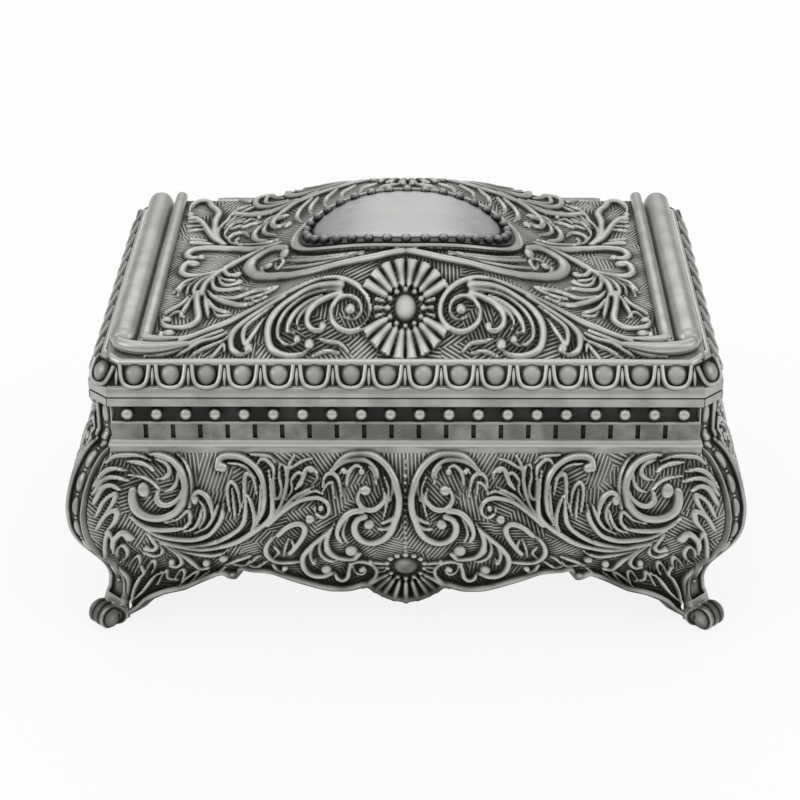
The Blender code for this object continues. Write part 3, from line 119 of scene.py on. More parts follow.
# Carving of the front panel's left half, from the corner inwards: x and height
CORNER_STROKES = (
    Stroke(E, 1.9, (-59.9, 37.6, -60.1, 35.5, -59.4, 33.3, -57.6, 31.8, -55.2, 31.2, -52.8, 31.6,
                    -50.6, 32.9, -49.0, 35.0)),
    Stroke(T, 1.8, (-50.6, 32.9, -49.0, 35.0, -48.4, 37.5, -48.6, 40.0, -49.6, 42.3, -51.3, 44.0,
                    -53.6, 44.8, -56.2, 45.0)),
    Stroke(T, 0.8, (-47.6, 34.0, -47.0, 37.5, -47.3, 41.0, -48.6, 43.8, -50.2, 45.2)),
    Stroke(L, 1.4, (-54.5, 37.5, -54.8, 35.8, -53.6, 34.5, -51.5, 34.8, -49.6, 36.4, -48.9, 38.3)),
    Stroke(L, 1.0, (-53.0, 37.7, -51.5, 38.1, -50.3, 39.5, -49.9, 41.4)),
    Stroke(L, 1.0, (-54.5, 40.2, -52.8, 40.6, -51.8, 41.8, -52.6, 43.3, -54.9, 44.2)),
    Stroke(L, 0.8, (-60.9, 41.1, -58.0, 40.6, -55.7, 39.5, -54.4, 38.1)),
    Stroke(L, 1.1, (-61.0, 43.7, -58.4, 43.5, -56.5, 42.8, -55.5, 41.9)),
    Stroke(L, 0.9, (-66.0, 43.4, -64.2, 44.6, -61.6, 44.9, -58.6, 44.8, -56.0, 44.0)),
    Stroke(L, 1.2, (-68.6, 38.6, -66.5, 41.3, -64.5, 42.3, -61.6, 42.0)),
    Stroke(L, 1.2, (-68.8, 36.9, -66.8, 39.6, -64.5, 40.6, -61.1, 39.9)),
    Stroke(L, 1.3, (-68.8, 34.8, -66.8, 38.1, -64.9, 38.9, -63.0, 37.9)),
    Stroke(L, 1.0, (-68.4, 31.8, -66.5, 35.4, -64.0, 37.1, -64.6, 34.9, -66.2, 32.6)),
    Stroke(L, 1.1, (-68.6, 28.2, -66.5, 31.8, -64.0, 33.2, -64.2, 30.8, -66.4, 27.6)),
    Stroke(L, 1.1, (-67.6, 18.2, -67.1, 23.0, -66.0, 27.4, -65.0, 24.6, -65.4, 20.6)),
    Stroke(B, 1.7, (-65.3, 22.6, -64.8, 25.2, -63.4, 27.0, -62.2, 27.1, -61.3, 25.7)),
    Stroke(L, 0.9, (-64.9, 19.4, -64.3, 22.2, -63.2, 23.5, -62.3, 21.8, -62.6, 19.5, -63.8, 17.7,
                    -64.9, 16.6)),
    Stroke(B, 1.3, (-57.2, 27.4, -55.9, 24.8, -55.4, 23.3, -56.3, 21.9, -57.8, 22.3)),
    Stroke(L, 0.9, (-54.8, 25.8, -54.3, 22.2, -54.9, 20.2, -56.5, 19.5, -58.6, 20.9)),
    Stroke(B, 1.3, (-54.2, 24.7, -51.5, 21.4, -50.5, 19.1, -50.5, 16.8, -51.7, 15.3, -53.0, 15.8)),
    Stroke(B, 1.3, (-52.0, 23.4, -49.5, 19.5, -48.0, 16.8, -46.5, 14.7, -44.9, 14.9)),
)
FOOT_STROKES = (
    Stroke(L, 1.2, (-64.4, 4.6, -63.3, 9.5, -63.8, 12.2, -65.7, 14.8, -67.6, 17.8)),
    Stroke(L, 1.0, (-63.0, 4.8, -62.2, 8.3, -60.7, 11.4, -59.6, 12.8, -59.9, 15.4)),
    Stroke(L, 1.0, (-62.4, 5.6, -60.3, 7.7, -58.8, 9.8, -56.9, 12.2, -54.3, 13.9)),
    Stroke(L, 0.8, (-62.8, 15.4, -61.5, 17.9, -60.1, 19.6, -59.9, 17.5, -60.5, 15.2)),
    Stroke(L, 0.8, (-59.2, 13.2, -57.8, 16.4, -56.8, 17.6, -56.7, 15.6, -57.8, 12.8)),
    Stroke(L, 0.8, (-56.8, 9.6, -55.3, 12.5, -54.3, 13.6, -54.2, 11.3, -52.0, 10.8)),
    Stroke(L, 0.8, (-52.7, 11.4, -50.9, 14.2, -50.3, 12.9, -51.3, 9.8)),
    Stroke(L, 0.9, (-52.6, 8.4, -49.9, 11.4, -47.0, 13.9, -48.0, 11.6, -50.2, 9.2)),
    Stroke(L, 0.9, (-49.2, 9.2, -46.5, 11.9, -44.6, 13.7)),
    Stroke(L, 0.9, (-45.6, 11.0, -42.5, 13.4, -41.0, 14.9)),
)
SWEEP_STROKES = (
    Stroke(L, 1.3, (-60.6, 31.6, -58.0, 29.2, -54.9, 28.2, -51.5, 28.2, -48.8, 28.9, -47.4, 30.2)),
    Stroke(L, 0.9, (-53.0, 30.2, -50.3, 31.1, -48.0, 33.2, -47.5, 31.0, -48.6, 29.6)),
    Stroke(L, 1.4, (-57.6, 28.5, -54.5, 26.5, -51.1, 25.5, -47.2, 25.3, -44.0, 26.5, -42.0, 28.8,
                    -40.6, 31.6, -40.0, 34.8)),
    Stroke(L, 1.0, (-49.6, 27.6, -47.0, 28.6, -45.6, 30.8, -44.9, 33.4)),
    Stroke(L, 1.0, (-46.6, 27.4, -43.9, 29.1, -42.3, 31.8, -41.2, 34.8)),
    Stroke(L, 0.8, (-45.6, 28.8, -44.4, 31.4, -44.4, 33.8, -45.2, 35.4)),
    Stroke(B, 1.2, (-42.4, 31.0, -42.8, 34.2, -43.9, 36.6, -45.6, 37.5, -46.6, 36.4, -46.3, 35.2)),
    Stroke(L, 1.4, (-56.0, 26.0, -50.7, 23.5, -46.0, 23.6, -42.2, 24.6, -38.7, 26.8, -36.4, 29.1,
                    -35.4, 31.8, -35.0, 36.8)),
    Stroke(T, 1.7, (-54.0, 24.6, -46.5, 22.4, -41.4, 23.1, -37.5, 24.7, -34.5, 27.0, -31.4, 29.6,
                    -29.8, 31.6, -29.2, 34.0, -29.4, 38.3, -29.9, 42.0)),
    Stroke(L, 1.3, (-51.6, 22.6, -47.2, 20.7, -43.6, 19.8, -41.2, 20.6, -39.8, 21.9)),
    Stroke(L, 0.9, (-38.7, 33.0, -39.2, 37.5, -38.7, 39.6, -37.6, 39.1, -36.7, 37.2, -36.4, 34.4)),
    Stroke(L, 0.8, (-38.1, 38.2, -37.8, 35.0, -37.6, 31.4)),
    Stroke(L, 0.8, (-34.9, 36.6, -35.9, 34.8, -36.8, 32.2)),
    Stroke(L, 1.0, (-35.5, 35.6, -35.4, 40.0, -34.9, 41.4, -33.5, 40.7, -33.0, 38.8, -32.6, 36.9)),
    Stroke(L, 1.1, (-34.6, 36.6, -33.6, 33.7, -33.3, 30.6, -34.3, 27.6)),
    Stroke(L, 1.0, (-31.9, 39.0, -31.8, 36.0, -32.3, 32.5, -33.2, 29.0)),
    Stroke(T, 1.5, (-41.2, 42.6, -40.8, 44.2, -39.0, 44.8, -36.0, 44.5, -33.3, 43.0, -31.5, 40.5,
                    -30.9, 37.0, -31.3, 33.5, -32.6, 29.8)),
    Stroke(L, 0.8, (-38.9, 43.4, -36.5, 43.2, -34.6, 42.3, -32.9, 40.4)),
    Stroke(L, 1.0, (-32.4, 43.4, -31.6, 44.2, -30.3, 43.9, -29.1, 42.6, -28.7, 40.4)),
    Stroke(L, 1.0, (-29.0, 41.6, -28.9, 38.3, -28.6, 36.2, -27.7, 36.4, -27.2, 38.3, -27.7, 40.6,
                    -27.6, 43.0)),
    Stroke(L, 1.1, (-27.5, 43.4, -26.4, 42.7, -26.0, 40.2, -26.4, 37.5, -27.5, 34.5, -29.3, 31.6)),
    Stroke(L, 0.9, (-24.4, 44.9, -25.6, 42.9, -26.0, 39.8)),
    Stroke(L, 1.0, (-30.6, 29.8, -28.2, 32.4, -26.2, 34.6, -24.2, 36.6, -22.4, 37.6, -20.0, 38.8)),
    Stroke(L, 0.8, (-34.0, 45.0, -31.5, 44.9, -29.6, 44.6, -28.6, 43.6)),
)
MIDDLE_STROKES = (
    Stroke(T, 1.2, (-30.4, 29.6, -27.0, 33.0, -24.0, 35.2, -21.7, 36.0, -19.2, 36.2, -17.4, 35.2,
                    -16.8, 33.2, -18.0, 31.6, -19.6, 32.4, -20.0, 34.2)),
    Stroke(L, 0.9, (-24.0, 35.9, -21.7, 37.2, -19.8, 37.7, -18.1, 37.1)),
    Stroke(L, 0.9, (-26.2, 35.8, -24.9, 38.0, -25.0, 40.0, -23.6, 41.6, -22.6, 41.0, -22.8, 39.4,
                    -24.2, 38.0)),
    Stroke(L, 1.1, (-24.2, 38.2, -22.6, 40.4, -21.8, 42.2, -20.6, 42.5, -19.6, 41.6, -19.3, 40.4)),
    Stroke(L, 0.8, (-26.4, 42.0, -24.6, 42.8, -22.8, 43.8, -20.6, 44.4)),
    Stroke(L, 1.0, (-18.2, 38.6, -17.8, 40.5, -16.7, 41.5, -15.2, 41.0, -14.4, 39.1, -14.1, 36.6)),
    Stroke(L, 0.8, (-18.4, 37.3, -17.3, 39.1, -16.1, 39.6, -15.9, 37.9, -15.6, 36.2)),
    Stroke(L, 1.1, (-16.6, 41.2, -14.8, 42.9, -12.5, 43.9, -9.4, 44.1, -7.5, 43.4, -6.1, 41.6,
                    -6.3, 39.3)),
    Stroke(B, 1.6, (-16.4, 42.0, -15.0, 43.4, -12.8, 44.8, -9.4, 45.2, -6.7, 44.8, -4.0, 42.9,
                    -2.2, 39.8, -1.4, 36.4)),
    Stroke(E, 1.6, (-2.2, 39.8, -1.4, 36.4, -1.5, 33.3, -2.3, 30.6, -3.2, 27.9, -4.8, 25.6,
                    -7.1, 24.4, -9.4, 25.0, -10.9, 26.8, -11.3, 29.1, -10.5, 31.0, -9.0, 31.8)),
    Stroke(L, 1.0, (-5.2, 30.0, -3.6, 30.8, -2.0, 32.4)),
    Stroke(L, 1.0, (-5.9, 28.5, -4.2, 28.6, -2.6, 30.2)),
    Stroke(L, 0.9, (-4.6, 40.8, -3.6, 37.8, -4.3, 33.8, -4.9, 31.2)),
    Stroke(L, 0.8, (-3.0, 40.4, -2.8, 38.2, -3.2, 35.6)),
    Stroke(L, 1.3, (-9.9, 38.4, -10.5, 36.2, -9.8, 34.4, -8.3, 33.4, -6.6, 33.6, -5.2, 34.8,
                    -4.5, 36.4, -4.9, 38.4)),
    Stroke(L, 0.7, (-8.0, 42.8, -6.9, 41.6, -6.6, 39.6)),
    Stroke(L, 1.0, (-13.0, 38.2, -12.6, 41.2, -11.3, 42.8, -10.0, 42.9, -9.2, 41.9)),
    Stroke(L, 0.8, (-14.4, 41.4, -13.6, 42.4, -12.9, 42.0)),
    Stroke(T, 1.6, (-9.5, 33.3, -11.7, 32.9, -13.6, 31.4, -14.8, 29.1, -15.1, 26.8, -14.2, 24.6)),
    Stroke(L, 0.9, (-12.5, 31.4, -13.5, 29.2, -13.8, 26.8, -13.0, 24.6)),
    Stroke(B, 1.6, (-15.6, 30.2, -17.0, 27.2, -17.6, 24.2, -17.1, 21.4, -15.6, 19.4, -13.6, 18.7,
                    -11.6, 18.8, -10.6, 20.4)),
    Stroke(L, 1.1, (-18.0, 27.0, -19.1, 23.6, -19.0, 20.8, -18.0, 18.6, -16.4, 17.6, -15.3, 18.2)),
    Stroke(L, 0.8, (-18.2, 22.4, -17.5, 20.4, -16.2, 19.0)),
    Stroke(L, 1.0, (-19.6, 25.4, -21.0, 21.8, -21.3, 19.1, -20.6, 16.5, -20.2, 18.6)),
    Stroke(B, 1.6, (-16.3, 29.1, -18.2, 26.6, -20.9, 23.4, -22.7, 20.2, -23.2, 16.8, -22.6, 13.9,
                    -20.9, 12.2, -18.6, 12.1, -17.1, 13.0)),
    Stroke(L, 1.3, (-16.2, 13.4, -15.6, 11.4, -14.3, 10.8, -13.2, 11.8, -12.8, 14.2, -12.3, 16.4,
                    -11.2, 17.4)),
    Stroke(T, 1.3, (-12.4, 16.6, -10.8, 17.5, -9.0, 17.3, -7.2, 15.8, -6.5, 13.4, -7.4, 11.3,
                    -9.4, 9.9, -11.5, 9.5)),
    Stroke(B, 0.9, (-11.8, 16.0, -11.8, 14.4, -11.0, 13.0, -9.8, 12.7, -9.1, 13.8, -9.6, 14.9)),
    Stroke(L, 1.3, (-22.6, 18.3, -25.2, 17.2, -28.3, 17.1, -30.2, 18.4, -31.2, 20.7, -31.0, 23.3,
                    -29.8, 25.6, -28.2, 27.0)),
    Stroke(E, 1.3, (-28.2, 26.8, -26.4, 28.7, -24.5, 29.7, -23.0, 29.7, -22.3, 28.3, -22.9, 26.0,
                    -24.5, 22.9, -25.8, 20.8)),
    Stroke(L, 0.8, (-26.0, 25.6, -26.8, 22.9, -27.3, 19.6)),
    Stroke(L, 0.8, (-25.4, 25.4, -24.9, 23.4, -25.8, 20.8)),
    Stroke(L, 0.8, (-29.3, 23.0, -28.4, 21.0, -29.6, 18.9)),
    Stroke(L, 1.0, (-30.0, 16.3, -29.2, 14.3, -27.6, 13.4)),
    Stroke(L, 1.1, (-40.4, 16.3, -37.5, 18.0, -34.9, 19.5)),
    Stroke(L, 0.9, (-39.6, 16.6, -36.5, 15.8, -35.1, 17.6)),
    Stroke(L, 0.9, (-35.3, 15.9, -33.5, 15.3, -31.0, 17.7)),
    Stroke(L, 0.9, (-34.9, 16.8, -33.9, 18.4, -32.6, 19.6)),
)
CORNER_KNOBS = (
    Knob(-57.7, 37.9, 1.4, 1.8), Knob(-46.2, 35.9, 0.9, 0.9), Knob(-52.7, 16.9, 0.9, 1.4),
    Knob(-45.0, 16.6, 1.0, 1.4), Knob(-57.9, 22.5, 0.7, 0.8), Knob(-41.0, 18.5, 1.2, 1.5),
    Knob(-39.2, 12.6, 1.2, 0.9),
)
SWEEP_KNOBS = (Knob(-40.3, 42.7, 1.2, 1.1),)
MIDDLE_KNOBS = (
    Knob(-8.1, 29.7, 1.3, 1.4), Knob(-8.8, 37.8, 1.3, 1.2), Knob(-12.1, 21.5, 1.6, 2.0),
    Knob(-18.0, 14.1, 1.4, 1.6), Knob(-10.0, 14.2, 0.8, 0.9), Knob(-21.1, 31.0, 1.1, 1.2),
    Knob(-18.6, 33.8, 0.7, 0.8), Knob(-9.6, 41.8, 0.8, 0.8), Knob(-27.4, 14.6, 0.8, 1.0),
    Knob(-8.0, 17.2, 0.7, 0.9), Knob(-20.7, 42.0, 0.7, 0.6), Knob(-13.4, 41.8, 0.6, 0.6),
)

# Carving of the lid's left half: x and y, the front part first
LID_BAND_STROKES = (
    Stroke(T, 1.3, (-22.0, -25.8, -18.7, -25.5, -15.3, -25.7, -12.0, -26.9, -9.7, -28.7,
                    -8.2, -31.3, -8.2, -34.3, -10.3, -36.7, -13.3, -37.2, -16.0, -35.5, -16.7, -32.7,
                    -15.3, -30.5, -13.0, -29.7, -10.7, -30.8, -10.2, -33.2, -11.8, -34.8,
                    -13.8, -34.2)),
    Stroke(B, 2.3, (-18.7, -25.5, -25.3, -26.3, -28.7, -26.8, -33.5, -27.6, -36.5, -28.7,
                    -39.4, -30.3, -42.4, -32.2)),
    Stroke(T, 2.3, (-39.4, -30.3, -42.4, -32.3, -44.7, -34.6, -47.1, -36.6, -49.7, -38.4,
                    -52.6, -39.6, -55.6, -39.6)),
    Stroke(L, 1.4, (-58.5, -42.2, -54.0, -41.9, -49.7, -40.7, -46.0, -38.3, -43.0, -35.9,
                    -40.4, -34.0)),
    Stroke(B, 1.3, (-42.8, -32.4, -45.0, -34.2, -47.1, -36.0, -49.7, -37.1, -52.1, -37.4,
                    -53.6, -36.3, -53.6, -34.8)),
    Stroke(T, 1.9, (-47.5, -14.0, -47.4, -18.0, -46.9, -22.0, -46.3, -26.0, -46.5, -29.0,
                    -48.0, -31.3, -50.3, -32.2, -52.6, -31.5, -54.0, -29.8, -53.8, -28.2)),
    Stroke(L, 1.3, (-49.2, -15.6, -50.6, -20.0, -53.4, -24.2, -53.9, -26.6)),
    Stroke(L, 1.3, (-48.4, -15.6, -49.4, -21.0, -50.4, -26.6)),
    Stroke(L, 0.9, (-52.6, -26.2, -51.6, -24.4, -50.6, -24.2, -49.4, -26.6)),
    Stroke(L, 1.4, (-45.9, -14.6, -45.2, -20.0, -44.0, -27.0)),
    Stroke(L, 1.4, (-45.0, -17.6, -43.0, -22.5, -39.6, -25.6)),
    Stroke(L, 0.8, (-43.2, -23.8, -42.0, -26.2, -39.4, -26.8)),
    Stroke(L, 1.7, (-45.3, -13.6, -43.5, -17.0, -41.2, -19.3, -39.4, -21.0, -37.6, -22.8,
                    -34.6, -24.5)),
    Stroke(L, 1.6, (-43.4, -16.2, -39.4, -18.4, -37.0, -18.1, -35.0, -17.8, -33.5, -18.4,
                    -31.8, -19.6, -29.6, -20.7)),
    Stroke(L, 1.1, (-36.4, -20.4, -33.0, -21.4, -30.6, -21.4, -29.2, -20.6)),
    Stroke(L, 0.9, (-35.0, -21.2, -34.2, -23.6, -31.6, -23.6)),
    Stroke(T, 1.8, (-27.6, -27.6, -33.5, -30.8, -35.9, -32.8, -37.4, -34.8, -38.1, -36.9,
                    -38.2, -39.3, -37.6, -41.0, -35.9, -42.0, -34.3, -41.6)),
    Stroke(L, 1.2, (-29.6, -30.2, -33.0, -32.5, -35.3, -35.0, -35.6, -38.0, -34.9, -39.8,
                    -33.5, -37.5, -31.2, -33.8)),
    Stroke(L, 1.2, (-49.6, -42.2, -47.1, -40.4, -44.7, -38.4, -41.8, -37.2, -39.2, -35.6)),
    Stroke(L, 1.0, (-47.1, -42.7, -44.7, -40.9, -42.4, -39.7, -39.4, -38.1, -38.6, -35.8)),
    Stroke(L, 0.9, (-42.4, -42.7, -40.9, -40.9, -39.7, -39.5, -39.4, -41.2)),
    Stroke(T, 1.9, (-14.7, -27.3, -18.7, -27.3, -22.0, -28.0, -25.3, -29.7, -28.0, -31.7,
                    -29.7, -34.3, -30.3, -37.3, -29.7, -40.1, -28.0, -41.7, -25.3, -42.4,
                    -22.6, -42.0, -20.9, -40.6)),
    Stroke(T, 1.2, (-14.7, -28.5, -18.0, -28.6, -21.3, -29.3, -24.0, -30.7, -26.5, -32.9,
                    -27.9, -35.4, -28.1, -38.0, -27.0, -39.6, -25.3, -40.2, -23.7, -39.5)),
    Stroke(L, 1.3, (-18.6, -29.6, -22.0, -31.2, -24.6, -33.4, -25.8, -35.5, -25.9, -37.2,
                    -24.5, -37.6)),
    Stroke(L, 1.0, (-17.4, -30.2, -20.6, -31.4, -22.8, -33.2, -23.9, -35.0, -23.6, -36.8)),
    Stroke(T, 1.5, (-14.7, -29.2, -17.3, -30.0, -20.0, -31.4, -21.6, -33.4, -21.7, -35.5,
                    -20.3, -37.0, -18.7, -37.0, -17.8, -36.0)),
    Stroke(L, 1.0, (-19.4, -38.8, -17.0, -39.4, -14.6, -39.8, -12.6, -41.6)),
    Stroke(L, 1.0, (-20.6, -42.6, -17.6, -41.4, -14.6, -41.8)),
)
LID_BAND_KNOBS = (
    Knob(-12.5, -32.5, 1.2, 1.2), Knob(-52.0, -34.6, 1.5, 1.4), Knob(-53.1, -27.9, 1.2, 1.1),
    Knob(-34.3, -40.6, 1.1, 1.1), Knob(-21.2, -39.9, 1.2, 1.2), Knob(-18.5, -36.1, 0.9, 0.9),
    Knob(-23.9, -38.9, 0.9, 0.9),
)
LID_SIDE_STROKES = (
    Stroke(E, 2.4, (-1.2, -17.9, -4.2, -18.9, -8.0, -20.2, -14.0, -21.0, -20.0, -20.6, -26.0, -17.8,
                    -30.0, -14.3)),
    Stroke(E, 2.7, (-29.0, -15.2, -33.1, -11.2, -35.6, -7.3, -36.9, -3.5, -36.9, -1.0, -36.3, 0.9,
                    -34.7, 2.4)),
    Stroke(T, 2.6, (-36.3, 0.9, -34.7, 2.4, -32.5, 3.1, -30.6, 2.4, -29.1, 0.6, -28.1, -1.4)),
    Stroke(B, 1.2, (-30.3, -14.1, -31.9, -11.9, -33.4, -8.8, -33.8, -6.0)),
    Stroke(L, 0.9, (-31.8, -4.4, -30.0, -4.6, -28.9, -6.5, -28.9, -8.5, -29.7, -10.4, -30.4, -9.0,
                    -30.6, -6.6)),
    Stroke(L, 1.2, (-27.6, -8.2, -22.0, -14.0, -16.5, -17.4, -10.0, -18.6)),
    Stroke(L, 0.9, (-26.6, -7.4, -21.0, -13.4, -15.0, -16.6, -10.0, -17.4)),
    Stroke(L, 1.0, (-28.6, -11.2, -24.0, -15.4, -18.0, -18.6, -12.0, -19.2)),
    Stroke(B, 2.5, (-30.0, 4.8, -33.1, 5.4, -36.3, 7.2, -40.0, 9.8, -42.5, 10.9, -46.3, 11.5)),
    Stroke(T, 2.5, (-42.5, 10.9, -46.3, 11.5, -49.1, 11.1, -50.9, 10.2, -51.9, 8.5, -51.8, 6.6,
                    -50.6, 5.4, -49.0, 5.6)),
    Stroke(B, 1.9, (-42.7, -1.1, -43.8, -2.3, -46.0, -3.9, -48.8, -4.7, -51.0, -4.3, -52.3, -2.4,
                    -52.2, 0.8, -51.2, 2.9)),
    Stroke(T, 2.1, (-34.4, 4.9, -36.3, 4.5, -38.1, 3.7, -40.0, 2.3, -41.6, 0.5, -42.6, -1.0,
                    -42.3, -3.2, -41.2, -4.9, -39.8, -5.5)),
    Stroke(L, 1.2, (-31.0, 7.4, -34.2, 8.6, -37.4, 10.6, -40.0, 12.4)),
    Stroke(L, 0.9, (-43.3, -4.2, -42.5, -6.6, -39.6, -8.3)),
    Stroke(B, 1.1, (-43.9, -5.0, -42.5, -9.2, -40.6, -10.6, -38.8, -9.9)),
    Stroke(L, 1.3, (-44.4, -4.8, -44.7, -8.5, -43.8, -11.7, -41.3, -12.9, -38.1, -13.5,
                    -36.4, -15.3)),
    Stroke(E, 1.7, (-42.8, -1.3, -44.6, -4.8, -46.1, -8.5, -46.6, -12.0, -46.6, -15.5)),
    Stroke(L, 1.5, (-45.1, -4.4, -47.4, -7.9, -48.4, -11.5, -48.4, -15.6)),
    Stroke(L, 1.0, (-46.3, -4.9, -48.6, -7.7, -49.9, -11.1, -50.0, -15.8)),
    Stroke(L, 1.2, (-47.5, -5.4, -50.6, -7.7, -51.9, -10.4, -52.9, -13.6)),
    Stroke(L, 0.9, (-49.9, -8.8, -51.5, -11.5, -51.9, -15.2)),
)
LID_SIDE_KNOBS = (
    Knob(-28.7, -2.8, 1.3, 2.5), Knob(-32.3, -6.4, 1.2, 1.5), Knob(-50.3, 2.4, 1.9, 1.6),
    Knob(-2.4, -16.9, 1.2, 1.6), Knob(-48.6, 6.0, 1.1, 1.0), Knob(-39.4, -5.2, 1.2, 1.1),
    Knob(-38.7, -9.6, 0.9, 0.8),
)
LID_SHOULDER_STROKES = (
    Stroke(B, 1.9, (-44.6, 13.2, -46.7, 17.0, -47.9, 20.3, -49.2, 24.3, -50.4, 27.2, -51.8, 29.4,
                    -53.2, 29.8)),
    Stroke(L, 0.8, (-49.8, 26.4, -51.8, 27.4, -53.6, 27.6)),
    Stroke(L, 0.8, (-49.6, 24.6, -51.6, 25.0, -53.6, 24.8)),
    Stroke(L, 0.9, (-48.8, 22.4, -51.0, 22.6, -53.4, 21.8)),
    Stroke(T, 2.0, (-44.1, 13.4, -46.4, 18.9, -47.0, 24.3, -47.1, 28.7, -46.7, 32.3, -47.3, 35.0,
                    -48.7, 37.5, -49.8, 40.6, -51.5, 41.6, -53.2, 39.6, -54.0, 36.5, -53.9, 33.4)),
    Stroke(L, 1.2, (-43.3, 13.3, -45.2, 17.0, -45.9, 21.2, -45.3, 25.0, -44.3, 28.2, -43.7, 31.5,
                    -42.6, 34.8, -41.0, 36.2, -39.3, 36.7)),
    Stroke(L, 1.0, (-44.7, 22.8, -43.6, 27.0, -42.2, 31.0, -40.4, 33.8, -38.2, 35.1)),
    Stroke(L, 1.0, (-43.6, 16.3, -44.2, 20.3, -43.5, 24.0, -42.3, 26.9, -40.0, 28.2)),
    Stroke(L, 0.9, (-43.6, 24.8, -42.6, 27.8, -41.4, 29.4, -39.8, 30.2, -38.0, 30.9, -36.0, 29.9,
                    -33.7, 29.8, -32.3, 28.5, -30.4, 28.0)),
    Stroke(L, 0.8, (-34.9, 29.4, -34.2, 27.9, -33.9, 26.2)),
    Stroke(L, 0.9, (-40.3, 25.5, -38.7, 27.2, -37.1, 25.5)),
    Stroke(L, 1.1, (-42.9, 22.8, -41.0, 24.2, -40.0, 23.3, -38.0, 24.0, -36.1, 23.5)),
    Stroke(L, 1.2, (-41.3, 13.0, -42.7, 14.9, -43.0, 17.0, -42.3, 19.0, -40.7, 19.9, -39.3, 18.9,
                    -38.3, 16.1)),
    Stroke(L, 1.1, (-39.1, 10.0, -40.6, 12.8, -41.2, 15.0, -40.6, 16.8)),
    Stroke(L, 1.5, (-33.6, 9.6, -35.9, 12.0, -37.0, 15.2, -36.8, 18.2, -35.2, 20.6)),
    Stroke(L, 1.2, (-31.8, 11.4, -33.8, 14.0, -34.9, 17.0, -34.2, 20.2, -32.0, 23.6)),
    Stroke(T, 2.0, (-22.6, 27.0, -26.7, 26.5, -29.5, 25.2, -31.7, 22.8, -32.8, 20.0, -32.5, 17.4,
                    -31.1, 15.6, -29.6, 15.4)),
    Stroke(L, 1.4, (-51.9, 14.8, -49.0, 14.2, -46.4, 13.2)),
    Stroke(L, 0.9, (-52.2, 17.2, -50.3, 16.5, -48.2, 15.8)),
    Stroke(L, 1.2, (-26.0, 13.0, -27.0, 16.6, -26.3, 20.6, -23.6, 24.6)),
    Stroke(L, 1.1, (-23.4, 15.0, -23.8, 19.0, -22.0, 23.4)),
    Stroke(L, 1.1, (-20.2, 16.6, -20.0, 20.6, -17.4, 24.4)),
    Stroke(L, 1.0, (-16.4, 17.6, -16.0, 21.0, -13.0, 23.8)),
    Stroke(L, 1.0, (-12.0, 18.4, -11.0, 21.2, -8.0, 22.8)),
    Stroke(L, 1.0, (-7.4, 18.8, -6.0, 20.8, -3.0, 21.6)),
)
LID_SHOULDER_KNOBS = (
    Knob(-53.6, 32.2, 1.0, 1.3), Knob(-28.9, 14.4, 1.1, 1.1), Knob(-36.6, 26.9, 0.7, 0.7),
)


def spline(points: Points, steps: int = 6) -> Points:
    """Draw a smooth curve through places.

    Args:
        points: the places, one row each, with any number of columns.
        steps: how many parts each gap is cut into.

    Returns:
        The places along the curve.
    """
    ends = np.vstack((2 * points[0] - points[1], points, 2 * points[-1] - points[-2]))
    share = np.arange(steps)[:, None] / steps
    parts = []
    for a, b, c, d in zip(ends, ends[1:], ends[2:], ends[3:]):
        curve = 2 * b + (c - a) * share + (2 * a - 5 * b + 4 * c - d) * share**2
        parts.append((curve + (3 * b - 3 * c + d - a) * share**3) / 2)
    parts.append(points[-1:])
    return np.vstack(parts)


def blurred(values: Points, reach: int) -> Points:
    """Average a grid of values over a square round each place, twice over.

    Args:
        values: the grid.
        reach: half the square's side, in grid steps.

    Returns:
        The averaged grid.
    """
    for _ in range(2):
        for axis in (0, 1):
            pad = [(0, 0), (0, 0)]
            pad[axis] = (reach + 1, reach)
            total = np.cumsum(np.pad(values, pad, mode="edge"), axis=axis)
            count = values.shape[axis]
            upper = np.take(total, range(2 * reach + 1, 2 * reach + 1 + count), axis=axis)
            lower = np.take(total, range(count), axis=axis)
            values = (upper - lower) / (2 * reach + 1)
    return values


